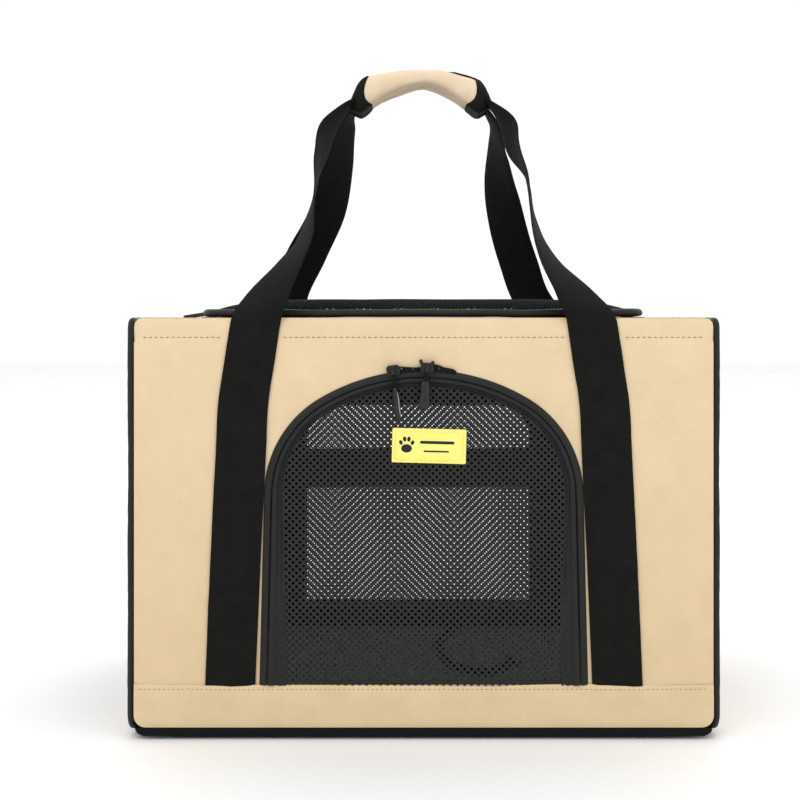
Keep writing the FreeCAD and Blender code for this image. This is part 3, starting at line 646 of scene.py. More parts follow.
def band_over(points, seed):
    """The kick band: a folded top edge, lying over the webbing's ends."""
    u, v = points[:, 0], points[:, 1]
    top = KICK_TOP + 0.5 * ripple(u, u * 0, 90, seed)
    fold = rounding(top - v, 1.6)
    strap = np.abs(np.abs(u) - 146.3)
    over_strap = (1 - ease(strap, 17.0, 25.0)) * ease(v, 22.0, 38.0)
    high = 0.5 + 0.9 * fold + 1.4 * over_strap
    slack = ease(KICK_TOP - v, 1.0, 9.0) * ease(v, 10.5, 18.0)
    seam = KICK_TOP - v - KICK_STITCH_DROP
    high += slack * (0.7 * ripple(u, v * 1.5, 62, seed + 1) + 0.3 * ripple(u, v, 24, seed + 3) + 0.5)
    high -= 0.4 * np.exp(-(seam / 1.1) ** 2)
    high += 0.26 * ripple(u, v * 0.2, 11, seed + 2) * np.exp(-np.abs(seam) / 5)
    return high - 1.3 * (1.0 - rounding(np.minimum(WALL_X - np.abs(u), v - WALL_LOW), 3.0))


def band_put(put, seed):
    """Places the kick band with a top edge that wanders a little."""
    def place(points, height):
        moved = points.copy()
        share = ease(points[:, 1], 25.0, 42.0)
        moved[:, 1] += share * 0.6 * ripple(points[:, 0], points[:, 0] * 0, 120, seed)
        return put(moved, height)
    return place


BAND_LOOP, _ = rounded_loop(-WALL_X, WALL_X, WALL_LOW, KICK_TOP, 10, 0.5, 3.0)
SEAM_X = np.linspace(-STITCH_END, STITCH_END, 140)
for (side, (_, seam, put, outwards, wall_seed)), seed in zip(WALLS.items(), (51, 71)):
    panel(f"{side}_kick", BAND_LOOP, [], 2.6, band_put(put, seed), lambda p: band_over(p, seed), 0.02,
          "beige_band", ROOT, (f"{side}_kick_band",))
    line = np.column_stack((SEAM_X, np.full(len(SEAM_X), KICK_TOP - KICK_STITCH_DROP)))
    stitches(f"{side}_kick_stitches", put(line, band_over(line, seed) + 0.05), outwards, 3.6, 2.4, 0.5,
             "stitch", ROOT)
    line = np.column_stack((SEAM_X, np.full(len(SEAM_X), HEM_Z)))
    high = wall_relief(line, seam, wall_seed)
    hidden = np.abs(np.abs(SEAM_X) - strap_x(HEM_Z)) < STRAP_HALF
    for number, (start, end) in enumerate(HEM_SPANS):
        chosen = (SEAM_X > start) & (SEAM_X < end) & ~hidden
        stitches(f"{side}_hem_stitches_{number}", put(line[chosen], high[chosen] + 0.1), outwards, 4.3, 2.6, 0.55,
                 "stitch", ROOT)


# ---------------------------------------------------------------- sides
SIDE_Y, SIDE_LOW, SIDE_HIGH = 133.8, 10.1, 314.7
END_Y, END_LOW, END_HIGH = 88, 60, 268
END_LOOP, END_NORMAL = rounded_loop(-END_Y, END_Y, END_LOW, END_HIGH, 30, 30)
SIDE_LOOP, _ = rounded_loop(-SIDE_Y, SIDE_Y, SIDE_LOW, SIDE_HIGH, 10, 6)


def on_side(sign):
    def put(points, height):
        return np.column_stack((sign * (221.6 + height), points[:, 0], points[:, 1]))
    return put


def side_over(points, seed):
    """The outer face of a side: drawn in at its edge and at its window."""
    u, v = points[:, 0], points[:, 1]
    edge = np.minimum(np.minimum(SIDE_Y - np.abs(u), v - SIDE_LOW), SIDE_HIGH - v)
    hole = distance(points, END_LOOP)
    soft = (1 - np.exp(-np.clip(edge, 0, None) / 14)) * (1 - np.exp(-hole / 12))
    high = 0.8 + 0.9 * soft + 0.7 * soft * ripple(u, v, 80, seed)
    high += 0.25 * np.exp(-edge / 9) * ripple(u, v, 16, seed + 1)
    return high - 0.7 * (1.0 - rounding(edge, 2.5))


WINDOW_HEM = ((-4.6, -0.5), (-4.2, 0.35), (-3.0, 0.75), (-1.6, 0.55), (0.0, 0.4), (1.8, 0.6), (3.4, 0.8),
              (4.6, 0.4), (4.8, -0.5), (2.0, -1.2), (-2.0, -1.2))
END_OUT = np.column_stack((np.zeros(len(END_LOOP)), END_NORMAL))
for side, sign, seed in (("left", -1, 5), ("right", 1, 9)):
    panel(f"{side}_side", SIDE_LOOP, [END_LOOP], 4.0, on_side(sign), lambda p: side_over(p, seed), -0.1,
          "beige_side", ROOT, (f"{side}_side_panel",))
    loop = np.column_stack((np.full(len(END_LOOP), sign * 222.9), END_LOOP))
    sweep(f"{side}_window_edge", loop, END_OUT, (sign, 0.0, 0.0), WINDOW_HEM, "binding", ROOT,
          (f"{side}_window_binding",), closed=True)

    def window_put(points, w):
        sag = 1.1 * np.cos(points[:, 0] / END_Y * 1.4) * np.cos((points[:, 1] - 164) / 104 * 1.4)
        return np.column_stack((sign * (221.9 + w + sag * 0.6), points[:, 0], points[:, 1]))

    lattice(f"{side}_window_net", END_LOOP, (-END_Y, END_LOW), (END_Y, END_HIGH), 5.6, 2.8, 2.7, 0.7,
            window_put, "mesh", ROOT, (f"{side}_window_mesh",))


def pocket_put(points, w):
    """The flat pocket on the left end, slack and gathered towards its open hem."""
    slack = np.sin(np.clip((points[:, 1] - 30) / 197, 0, 1) * math.pi) ** 0.7 * np.cos(points[:, 0] / 113 * 1.5)
    gather = 0.8 * ripple(points[:, 0], points[:, 1] * 0.12, 22, 91) * ease(points[:, 1], 90, 226)
    return np.column_stack((-(224.2 + 4.0 * np.clip(slack, 0, 1) + gather + w), points[:, 0], points[:, 1]))


POCKET_LOOP, _ = rounded_loop(-112, 112, 31, 228.5, 10, 1)
lattice("left_pocket_net", POCKET_LOOP, (-112, 31), (112, 228), 5.6, 2.8, 2.6, 0.5, pocket_put, "mesh", ROOT,
        ("left_pocket",))
hem_y = np.linspace(-113, 113, 110)
hem_path = pocket_put(np.column_stack((hem_y, np.full(len(hem_y), 229.6))), 0.0)
hem_path[:, 0] = np.minimum(hem_path[:, 0], -224.6)
sweep("left_pocket_hem", hem_path, TO_RIGHT, UP, oval(1.8, 7.0, 12, 0.6), "binding", ROOT,
      ("left_pocket_binding",))


# ---------------------------------------------------------------- piped edges
EDGE_LOOP, EDGE_NORMAL = rounded_loop(-136.5, 136.5, 7.35, 317.4, 12, 6, 3.0)
EDGE_OUT = np.column_stack((np.zeros(len(EDGE_LOOP)), EDGE_NORMAL))
for side, sign in (("left", -1), ("right", 1)):
    path = np.column_stack((np.full(len(EDGE_LOOP), sign * 222.4), EDGE_LOOP))
    path[:, 0] += sign * 0.35 * ripple(*EDGE_LOOP.T, 40, 17)
    sections = oval(5.4, 5.2, 14) * (1 + 0.05 * ripple(*EDGE_LOOP.T, 14, 23))[:, None, None]
    sweep(f"{side}_piping", path, EDGE_OUT, (sign, 0.0, 0.0), sections, "binding", ROOT,
          (f"{side}_edge_binding",), closed=True)


# ---------------------------------------------------------------- base
BASE_X, BASE_Y = 219.7, 139.0


def base_over(points):
    edge = np.minimum(BASE_X - np.abs(points[:, 0]), BASE_Y - np.abs(points[:, 1]))
    return 9.3 - 0.6 * (1 - ease(edge, 0, 3))


def base_under(points):
    """The pan's foot: it curls up at both ends and is rounded along its long edges."""
    ends, long_edge = BASE_X - np.abs(points[:, 0]), BASE_Y - np.abs(points[:, 1])
    curl = 6.5 * (1 - rounding(ends, 12.0)) + 2.4 * np.exp(-ends / 16)
    roll = 2.4 * (1 - rounding(long_edge, 3.0))
    rest = 0.25 + 0.25 * (1 + ripple(*points.T, 60, 29)) * ease(np.minimum(ends, long_edge), 2, 20)
    return np.minimum(rest + np.maximum(curl, roll), 8.2)


BASE_LOOP, _ = rounded_loop(-BASE_X, BASE_X, -BASE_Y, BASE_Y, 3, 3)
panel("base_cover", BASE_LOOP, [], 5.0, on_top, base_over, base_under, "base_cloth", ROOT,
      ("base_panel",))


# ---------------------------------------------------------------- top panel
LID_HOLE, _ = rounded_loop(-172.0, 172.0, -119.0, 119.0, 21, 21)
TOP_LOOP, _ = rounded_loop(-218.7, 218.7, -132.9, 132.9, 2, 2)


def top_over(points):
    sag = distance(points, TOP_LOOP)
    return 318.0 - 0.5 * ease(sag, 2, 16) + 0.35 * ripple(*points.T, 45, 83) * ease(sag, 1, 10)


panel("top_skin", TOP_LOOP, [LID_HOLE], 4.0, on_top, top_over, 316.9, "beige_top", ROOT,
      ("top_panel",))


# ---------------------------------------------------------------- door band
ARCH, ARCH_NORMAL = arch_path(0.0, 3.0)
ARCH_3D = on_front(ARCH, np.zeros(len(ARCH)))
ARCH_OUT = np.column_stack((ARCH_NORMAL[:, 0], np.zeros(len(ARCH)), ARCH_NORMAL[:, 1]))
FLARE = np.maximum(1 - ease(ARCH[:, 1], DOOR_FOOT, 262.0) ** 0.8, 0.0)


def profile(rows):
    """Rows of (inset at the crown, inset at the foot, height) make one section for each station."""
    table = np.array(rows, float)
    inset = table[None, :, 0] + (table[None, :, 1] - table[None, :, 0]) * FLARE[:, None]
    high = np.tile(table[None, :, 2], (len(FLARE), 1))
    return np.dstack((-inset, high))


FRAME_TAPE = ((-0.4, -0.4, -0.4), (-0.4, -0.4, 0.7), (0.2, 0.3, 1.3), (1.2, 2.4, 1.9), (2.6, 3.6, 2.5),
              (4.0, 4.4, 2.4), (4.9, 5.0, 1.9), (5.1, 5.2, 0.6), (4.6, 4.6, -0.5), (2.0, 2.0, -0.6))
DOOR_TAPE = ((5.5, 5.5, 0.5), (5.7, 5.8, 1.9), (6.5, 7.0, 2.7), (7.6, 8.8, 2.9), (8.6, 10.4, 2.3), (9.2, 11.6, 1.4),
             (9.6, 12.6, 1.2), (10.0, 14.2, 2.0), (10.5, 15.6, 2.1), (11.0, 16.8, 1.1), (11.3, 17.6, 0.9),
             (11.7, 18.6, 1.5), (12.2, 19.6, 1.4), (12.6, 20.6, 0.5), (12.6, 20.6, -0.8), (9.0, 12.0, -1.1),
             (5.6, 5.6, -0.8))
sweep("frame_zip_tape", ARCH_3D, ARCH_OUT, TO_FRONT, profile(FRAME_TAPE), "binding", ROOT,
      ("front_zip_tape", "front_zip_coil"))
sweep("door_zip_tape", ARCH_3D, ARCH_OUT, TO_FRONT, profile(DOOR_TAPE), "binding", "front_door",
      ("door_binding", "door_zip_coil"))


def door_put(points, w):
    """The door's net, slack between its seams."""
    across, up = np.cos(points[:, 0] / 110 * 1.45), np.sin(np.clip((points[:, 1] - 44) / 226, 0, 1) * math.pi)
    return on_front(points, 0.4 + w + 1.6 * across * up + 0.25 * ripple(*points.T, 70, 63))


DOOR_KEEP = arch_outline(10.5, 43.5)
lattice("door_net", DOOR_KEEP, (-112.2, 43.5), (112, 271), 5.3, 2.6, 2.45, 0.8, door_put, "mesh", "front_door",
        ("door_mesh",))
foot_path = door_put(np.column_stack((np.linspace(-103, 103, 90), np.full(90, 43.9))), 0.0)
sweep("door_foot_tape", foot_path, TO_FRONT, UP, oval(2.6, 3.2, 12, 0.7), "binding", "front_door")


# ---------------------------------------------------------------- rear window and luggage band
REAR_HEM = ((-4.9, -0.8), (-4.7, 0.5), (-3.4, 1.3), (-1.8, 1.0), (0.0, 0.8), (2.0, 1.1), (3.8, 1.4), (4.8, 0.8),
            (4.9, -0.2), (2.0, -1.4), (-2.0, -1.4))
WINDOW_OUT = np.column_stack((WINDOW_NORMAL[:, 0], np.zeros(len(WINDOW_LOOP)), WINDOW_NORMAL[:, 1]))
BAND_Z = 174.0
sweep("rear_window_edge", on_rear(WINDOW_LOOP, np.zeros(len(WINDOW_LOOP))), WINDOW_OUT, TO_BACK, REAR_HEM, "binding",
      ROOT, ("rear_window_binding",), closed=True)


def rear_put(points, w):
    """The rear window's net, slack between its seams."""
    across, up = np.cos(points[:, 0] / 113 * 1.45), np.sin(np.clip((points[:, 1] - 42) / 198, 0, 1) * math.pi)
    return np.column_stack((points[:, 0], 138.4 + w + 1.2 * across * up, points[:, 1]))


def rear_hole(points):
    """The net's holes are a little wider above the luggage band, where it's pulled tighter."""
    return np.where(points[:, 1] > BAND_Z, 1.72, 1.46)


lattice("rear_window_net", WINDOW_LOOP, (-114, 42), (114, 241), 3.3, 1.65, rear_hole, 0.6, rear_put, "mesh", ROOT,
        ("rear_window_mesh",), 4)
band_x = np.linspace(-119.5, 119.5, 90)
band_path = np.column_stack((band_x, 142.3 + 1.3 * np.cos(band_x / 119.5 * 1.57), np.full(len(band_x), BAND_Z)))
sweep("luggage_strap", band_path, UP, TO_BACK, oval(38.0, 1.9, 24, 0.25), "webbing", ROOT,
      ("luggage_band",))


# ---------------------------------------------------------------- lid
def rect_path(half_x, half_y, radius, z, step=4.0):
    """A level rounded rectangle, and the way out of it at each point."""
    loop, normal = rounded_loop(-half_x, half_x, -half_y, half_y, radius, radius, step)
    path = np.column_stack((loop, np.full(len(loop), z)))
    return path, np.column_stack((normal, np.zeros(len(loop))))


path, out = rect_path(169.5, 116.5, 18.5, 323.3)
path[:, 2] += 0.5 * ripple(path[:, 0], path[:, 1], 70, 41)
RIM_SECTION = ((-3.6, 1.6), (-3.6, -1.2), (-2.4, -2.7), (0.4, -2.8), (2.6, -2.3), (3.6, -0.9), (3.5, 0.9),
               (2.4, 2.3), (0.9, 3.1), (-0.9, 3.2), (-2.6, 2.7))
sweep("lid_edge", path, out, UP, RIM_SECTION, "binding", "lid", ("lid_rim",), closed=True)


def lid_put(points, w):
    """The lid's net, domed inside its rim."""
    u = np.clip(np.abs(points[:, 0]) / 166.5, 0, 1)
    v = np.clip(np.abs(points[:, 1]) / 113.5, 0, 1)
    dome = (1 - u ** 7) ** 0.8 * (1 - v ** 5) ** 0.8
    return on_top(points, 324.2 + 10.6 * dome + 0.4 * ripple(*points.T, 75, 43) * dome + w)


LID_LOOP, _ = rounded_loop(-167.5, 167.5, -114.5, 114.5, 16, 16)
lattice("lid_net", LID_LOOP, (-168, -115), (168, 115), 5.8, 2.9, 2.7, 0.8, lid_put, "lid_mesh", "lid",
        ("lid_mesh",))


def three_sides(path, limit):
    """The part of a closed path in front of limit, starting and ending at the back."""
    chosen = path[:, 1] < limit
    first = np.nonzero(chosen & ~np.roll(chosen, 1))[0][0]
    order = (np.arange(len(path)) + first) % len(path)
    return order[chosen[order]]


def teeth(name, half_x, half_y, radius, z, limit, finish, body, replaced, size):
    """A zip's coil: small rounded turns side by side along the path."""
    path, out = rect_path(half_x, half_y, radius, z, 1.9)
    chosen = three_sides(path, limit)
    path, out = path[chosen], out[chosen]
    points, faces = [], []
    for place, normal in zip(path, out):
        along = np.cross(normal, UP)
        faces += skin(4, 6, len(points))
        for end in (-1, -0.4, 0.4, 1):
            scale = 1.0 if abs(end) < 0.9 else 0.55
            for turn in range(6):
                angle = turn * math.pi / 3
                points.append(place + normal * end * size[0] / 2 + along * 0.62 * scale * math.cos(angle)
                              + np.array(UP) * size[1] / 2 * scale * math.sin(angle))
    return outward(piece(name, points, faces, finish, body, replaced))


teeth("lid_frame_teeth", 173.9, 120.9, 22.9, 319.9, 98.0, "coil", ROOT, ("lid_zip_coil",), (1.3, 1.5))
teeth("lid_teeth", 171.9, 118.9, 20.9, 319.9, 95.0, "coil", "lid", ("lid_edge_coil",), (1.3, 0.9))
path, out = rect_path(174.4, 121.4, 23.4, 318.6)
chosen = three_sides(path, 98.0)
TAPE_SECTION = ((-2.0, -0.6), (1.4, -0.6), (1.8, -0.1), (1.5, 0.5), (0.4, 0.7), (-0.8, 0.6), (-2.0, 0.5))
sweep("lid_frame_tape", path[chosen], out[chosen], UP, TAPE_SECTION, "binding", ROOT, ("lid_zip_tape",))


# ---------------------------------------------------------------- webbing, from the kick bands to the grip
def smooth_line(points, step):
    """A smooth line through points: cubic pieces with the neighbours' slope."""
    points = np.asarray(points, float)
    run = np.concatenate(((0,), np.cumsum(np.linalg.norm(np.diff(points, axis=0), axis=1) ** 0.8)))
    slope = np.gradient(points, run, axis=0)
    fine = np.linspace(0, run[-1], int(np.linalg.norm(np.diff(points, axis=0), axis=1).sum() / step) + 1)
    index = np.clip(np.searchsorted(run, fine, side="right") - 1, 0, len(run) - 2)
    width = (run[index + 1] - run[index])[:, None]
    t = (fine - run[index])[:, None] / width
    a, b, ma, mb = points[index], points[index + 1], slope[index] * width, slope[index + 1] * width
    return ((2 * t ** 3 - 3 * t ** 2 + 1) * a + (t ** 3 - 2 * t ** 2 + t) * ma
            + (3 * t ** 2 - 2 * t ** 3) * b + (t ** 3 - t ** 2) * mb)


# Routes of the right half, in millimetres from the middle, with y away from the middle of the depth. The last
# stretch, inside the grip, is the same for all.
GRIP_END = ((52.0, 11.5, 506.5), (38.0, 11.0, 516.0), (18.0, 11.0, 523.0), (1.0, 11.0, 525.0))
HANDLE_ROUTES = {
    ("front", 1): ((117, 132, 337), (100, 114, 364), (92.5, 101, 384), (88.5, 88, 405), (85.3, 70, 435),
                   (76.7, 52, 462), (70.3, 37, 482), (60.5, 22, 498)),
    ("front", -1): ((119, 132, 337), (104, 114, 363), (96, 105, 378), (91.5, 92, 398), (88, 79, 420), (86, 63, 445),
                    (79, 45, 472), (69, 30, 490), (60, 18, 501)),
    ("rear", 1): ((110, 133, 337), (94, 112, 373), (85, 96, 397), (74, 66, 440), (70, 42, 470), (66, 27, 489)),
    ("rear", -1): ((126, 132, 340), (106, 110, 380), (86, 83, 416), (76, 56, 454), (71, 36, 480), (67, 24, 493)),
}
# The turn of the width from along X, in degrees, by height.
TURNS = {
    ("front", 1): ((320, 0), (337, 30), (364, 62), (384, 74), (405, 81), (417, 84), (436, 84), (451, 91),
                   (463, 104), (482, 112), (502, 96)),
    ("front", -1): ((320, 0), (337, 26), (363, 55), (378, 65), (398, 78), (420, 86), (445, 94), (472, 110),
                    (490, 110), (504, 96)),
    ("rear", 1): ((325, 0), (340, 20), (373, 20), (397, 27), (425, 38), (450, 60), (477, 81), (495, 86), (506, 90)),
    ("rear", -1): ((340, 0), (380, 8), (416, 28), (454, 45), (480, 60), (495, 70), (506, 90)),
}
# Where a strap narrows, between two heights, to half this width.
NARROWING = {"front": (455, 503), "rear": (480, 508)}
NARROW_HALF, GRIP_Z = 7.4, 506


def strap(part, hand):
    """One strap: flat on the wall, then twisting and narrowing up to the middle of the grip."""
    face = -1.0 if part == "front" else 1.0
    _, seam, _, _, seed = WALLS[part]
    wall_z = np.array((34.0, 60, 100, 140, 180, 220, 256, 285, 305, 313))
    wall_x = np.interp(wall_z, (34, 42, 150, 256, 319), (146.8, 146.5, 141.8, 136.5, 127.0))
    points = [(x, 141.2, z) for x, z in zip(wall_x, wall_z)]
    points += [(126.2, 141.9, 321.0)] + list(HANDLE_ROUTES[(part, hand)]) + list(GRIP_END)
    line = smooth_line(points, 4.0)
    tangent = np.gradient(line, axis=0)
    tangent /= np.linalg.norm(tangent, axis=1)[:, None]
    table = np.array(TURNS[(part, hand)], float)
    angle = np.radians(np.interp(line[:, 2], table[:, 0], table[:, 1]))
    grip_start = np.argmax(line[:, 2] > GRIP_Z)
    angle[grip_start:] = math.pi / 2
    for _ in range(6):
        angle[1:-1] = (angle[:-2] + 2 * angle[1:-1] + angle[2:]) / 4
    narrow = ease(line[:, 2], *NARROWING[part])
    narrow[grip_start:] = 1.0
    width = np.column_stack((np.cos(angle), -np.sin(angle), np.zeros(len(line))))
    lean = ease(line[:, 2], 325, 350)[:, None]
    width = width - (width * tangent).sum(1)[:, None] * tangent * lean
    width /= np.linalg.norm(width, axis=1)[:, None]
    thick = np.cross(width, tangent)
    thick /= np.linalg.norm(thick, axis=1)[:, None]
    half = STRAP_HALF + (NARROW_HALF - STRAP_HALF) * narrow
    across = np.linspace(-1, 1, 13)
    gauge = 1.8 + 1.0 * narrow
    cup = 1.3 * ease(line[:, 2], 335, 400) * (1 - narrow * 0.5)
    sections = []
    for index in range(len(line)):
        wobble = 0.25 * math.sin(index * 0.55 + 2.0 * (hand + 1)) * narrow[index]
        bow = cup[index] * (1 - across ** 2) + wobble * across
        edge = gauge[index] / 2 * (1 - 0.55 * np.abs(across) ** 8)
        over = np.column_stack((across * half[index], bow + edge))
        under = np.column_stack((across[::-1] * half[index], (bow - edge)[::-1]))
        sections.append(np.vstack((over, under)))
    sections = np.array(sections)
    full = line[:, None] + width[:, None] * sections[:, :, :1] + thick[:, None] * sections[:, :, 1:]
    full = full.reshape(-1, 3)
    on_wall = 1 - ease(full[:, 2], 300, 322)
    relief = wall_relief(np.column_stack((full[:, 0] * hand, full[:, 2])), seam, seed)
    full[:, 1] += on_wall * relief
    full[:, 0] *= hand
    full[:, 1] *= face
    girth = np.concatenate((across * STRAP_HALF, across[::-1] * STRAP_HALF))
    thread = np.array([(g, r) for r in arc_length(line) for g in girth])
    word = "right" if hand > 0 else "left"
    made = piece(f"{part}_strap_{word}", full, skin(*sections.shape[:2]), "webbing", None,
                 (f"{part}_webbing_runs", f"{part}_handle_webbing"), thread=thread)
    outward(made)
    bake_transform(made)


for part in ("front", "rear"):
    for hand in (1, -1):
        strap(part, hand)


# ---------------------------------------------------------------- grip
# The grip's upper and lower outline, seen from the front: x and z.
GRIP_TOP = ((-66, 504), (-61.5, 509.5), (-58, 516), (-50.6, 523.6), (-44, 526.2), (-31, 528.6), (-16, 530.5),
            (-3, 531.4), (14, 531.0), (24.7, 529.0), (40, 524.9), (46.5, 523.0), (52, 519.5), (58, 513), (66, 505))
GRIP_LOW = ((-56, 489.5), (-50, 494), (-43.3, 500), (-36.7, 505.5), (-25.6, 511), (-16.7, 514.4), (-7.8, 517.3),
            (-2, 518.9), (6.6, 518.9), (11.1, 516.7), (16.6, 514.9), (25.5, 510), (33.3, 504.9), (43, 498),
            (50, 491), (54, 488))


def smoothed(table, x):
    """A table's value at x, smoothed over 10 mm."""
    table = np.array(table, float)
    return float(np.interp(x + np.linspace(-5, 5, 9), table[:, 0], table[:, 1]).mean())


def grip_reach(share, level):
    """How far along X a point lies: the ends bulge at mid height, more at the left."""
    middle, slant, bulge = (50.2, 1.4, -5.6) if share < 0 else (48.2, 4.0, -4.6)
    pad = middle + slant * level + bulge * level * level
    return share * pad if abs(share) < 1 else math.copysign(pad + 50.0 * (abs(share) - 1), share)


def grip_section(share, y_near, y_far, swell):
    """A D-shaped section across the grip: its flat side is the closing, its round side faces out."""
    ring = []
    for angle in np.linspace(-math.pi / 2, math.pi / 2, 20):
        s, c = math.sin(angle), math.cos(angle)
        ring.append((abs(s) ** 0.85 * math.copysign(1, s), y_near + (y_far - y_near) * c ** 0.26 * swell))
    ring += [(level, y_near) for level in np.linspace(0.86, -0.86, 7)]
    points = []
    for level, y in ring:
        x = grip_reach(share, level)
        top, low = smoothed(GRIP_TOP, x), smoothed(GRIP_LOW, x)
        points.append((x, y, (top + low) / 2 + (top - low) / 2 * level * swell))
    return np.array(points)


def grip_skin(name, shares, y_near, y_far, swells, pucker, finish, body, replaced):
    """A stretch of the grip with small wrinkles, between shares of its half length."""
    rings = []
    for share, swell in zip(shares, swells):
        ring = grip_section(share, y_near, y_far, swell)
        low = np.clip((ring[:, 2].mean() - ring[:, 2]) / 12, 0, 1)
        wrinkle = pucker * ripple(ring[:, 0], ring[:, 2] * 0.25 + ring[:, 1] * 0.2, 9, 77) * low
        ring[:, 1] += wrinkle * np.sign(y_far)
        ring[:, 2] += 0.5 * pucker * ripple(ring[:, 0], ring[:, 1], 26, 78)
        rings.append(ring)
    around = len(rings[0])
    thread = np.vstack([np.column_stack((np.arange(around) * 2.0, np.full(around, s * 50.0))) for s in shares])
    faces = skin(len(rings), around)
    return outward(piece(name, np.vstack(rings), faces, finish, body, replaced, thread, GRIP_CREASE))


def grip(part):
    """One half of the grip: the padded wrap and a black cuff at each end."""
    face = -1.0 if part == "front" else 1.0
    near, far = face * 1.4, face * 20.9
    shares = np.linspace(-1, 1, 72)
    ends = np.sqrt(np.clip(1 - (np.clip(np.abs(shares) - 0.93, 0, 1) / 0.07) ** 2, 0, 1))
    pad = grip_skin(f"{part}_grip_wrap", shares, near, far, 0.90 + 0.10 * ends, 1.2, "beige_grip",
                    f"{part}_handle", (f"{part}_grip_pad",))
    for number, sign in enumerate((-1, 1)):
        edge = np.linspace(0.955, 1.22, 22) if sign > 0 else np.linspace(-1.22, -0.955, 22)
        level = np.abs(edge)
        taper = np.clip((level - 1.0) / 0.22, 0, 1) ** 4
        swells = 1.045 - 0.3 * taper - 0.07 * (1 - ease(level, 0.955, 0.985))
        grip_skin(f"{part}_grip_cuff_{number}", edge, near * 0.95, far, swells, 0.9, "cuff",
                  f"{part}_handle", (f"{part}_grip_cuffs",))


for part in ("front", "rear"):
    grip(part)

# The rear half's cuff shows above the front half, from the middle to the right.
RISE_X, RISE_END = 16, 58
edge_x = np.linspace(RISE_X, RISE_END, 34)
edge_z = np.interp(edge_x, (RISE_X, 29.7, 40.8, 47.4, 51.8, 56.2, RISE_END),
                   (530.8, 530.4, 527.6, 525.3, 523.2, 517.7, 513))
edge_path = np.column_stack((edge_x, 3.2 + 0.03 * (edge_x - RISE_X), edge_z))
edge_size = 0.35 + 0.65 * np.clip((edge_x - RISE_X) / 8, 0, 1)
sweep("rear_grip_edge", edge_path, TO_BACK, UP, oval(6.0, 4.6, 12) * edge_size[:, None, None], "cuff",
      "rear_handle")


# ---------------------------------------------------------------- zip pulls on the door
def soft_bar(name, points, sizes, finish, body, replaced=()):
    """A rounded bar in a plane parallel to the front. Sizes are rows of share along it, width and depth."""
    line = smooth_line(points, 0.7)
    tangent = np.gradient(line, axis=0)
    tangent /= np.linalg.norm(tangent, axis=1)[:, None]
    share, table = np.linspace(0, 1, len(line)), np.array(sizes, float)
    size = np.column_stack([np.interp(share, table[:, 0], table[:, k]) for k in (1, 2)])
    sections = oval(1.0, 1.0, 14, 0.8)[None] * size[:, None]
    return sweep(name, line, np.cross(tangent, TO_FRONT), TO_FRONT, sections, finish, body, replaced)


CORD_SIZE = ((0, 1.4, 1.4), (1, 1.4, 1.4))
CORD_OFFSETS = (-0.85, 0.85)
LEFT_CORD = ((-22.9, -146.6, 281.0), (-22.4, -147.0, 274.0), (-21.9, -146.8, 265.5))
RIGHT_CORD = ((2.3, -146.5, 282.1), (1.8, -147.0, 277.0), (1.3, -146.8, 270.5))
for number, offset in enumerate(CORD_OFFSETS):
    for side, route in (("left", LEFT_CORD), ("right", RIGHT_CORD)):
        soft_bar(f"puller_{side}_cord_{number}", [(x + offset, y, z) for x, y, z in route], CORD_SIZE, "cuff",
                 f"{side}_puller", (f"front_puller_{side}",))

LEFT_TAB = ((-21.9, -146.4, 267.3), (-21.2, -146.6, 260.0), (-20.4, -146.7, 251.0), (-18.6, -146.4, 241.6))
LEFT_TAB_SIZE = ((0, 1.5, 1.6), (0.06, 3.4, 3.0), (0.3, 4.2, 4.6), (0.75, 5.2, 4.8), (0.94, 3.8, 3.4), (1, 1.2, 1.4))
# Painted highlight: a thin light grey strip down the left tab's right edge, in place of the light that edge catches.
LEFT_TAB_HIGHLIGHT = ((-20.1, -148.0, 264.5), (-19.0, -148.6, 258.0), (-18.5, -148.7, 251.5), (-17.2, -147.8, 245.0))
LEFT_TAB_HIGHLIGHT_SIZE = ((0, 0.3, 0.4), (0.2, 0.9, 0.7), (0.8, 0.9, 0.7), (1, 0.3, 0.4))
RIGHT_TAB = ((1.2, -146.5, 272.4), (1.0, -146.6, 265.0), (0.4, -146.6, 257.0), (0.1, -146.5, 250.9))
RIGHT_TAB_SIZE = ((0, 2.4, 1.4), (0.05, 6.0, 2.4), (0.4, 7.0, 3.0), (0.75, 8.6, 3.0), (0.92, 8.8, 2.6), (1, 4.0, 1.4))
for name, route, sizes, finish in (("left_tab", LEFT_TAB, LEFT_TAB_SIZE, "rubber"),
                                   ("left_seam", LEFT_TAB_HIGHLIGHT, LEFT_TAB_HIGHLIGHT_SIZE, "painted_highlight"),
                                   ("right_tab", RIGHT_TAB, RIGHT_TAB_SIZE, "rubber")):
    side = name.split("_")[0]
    soft_bar(f"puller_{name}", route, sizes, finish, f"{side}_puller", (f"front_puller_{side}",))

WING_SIZE = ((0, 1.9, 1.9), (0.12, 2.8, 2.4), (0.5, 2.2, 2.6), (0.88, 2.8, 2.4), (1, 1.9, 1.9))
LEFT_WINGS = ((-27.0, -143.6, 280.9), (-25.0, -144.2, 282.4), (-22.0, -144.4, 283.0), (-18.6, -143.8, 282.4))
RIGHT_WINGS = ((-2.6, -143.6, 288.4), (-1.4, -144.2, 285.2), (2.3, -144.6, 283.4), (5.6, -144.2, 285.0),
               (7.6, -143.6, 287.0))
for side, route in (("left", LEFT_WINGS), ("right", RIGHT_WINGS)):
    soft_bar(f"slider_{side}_wings", route, WING_SIZE, "slider", f"{side}_slider")

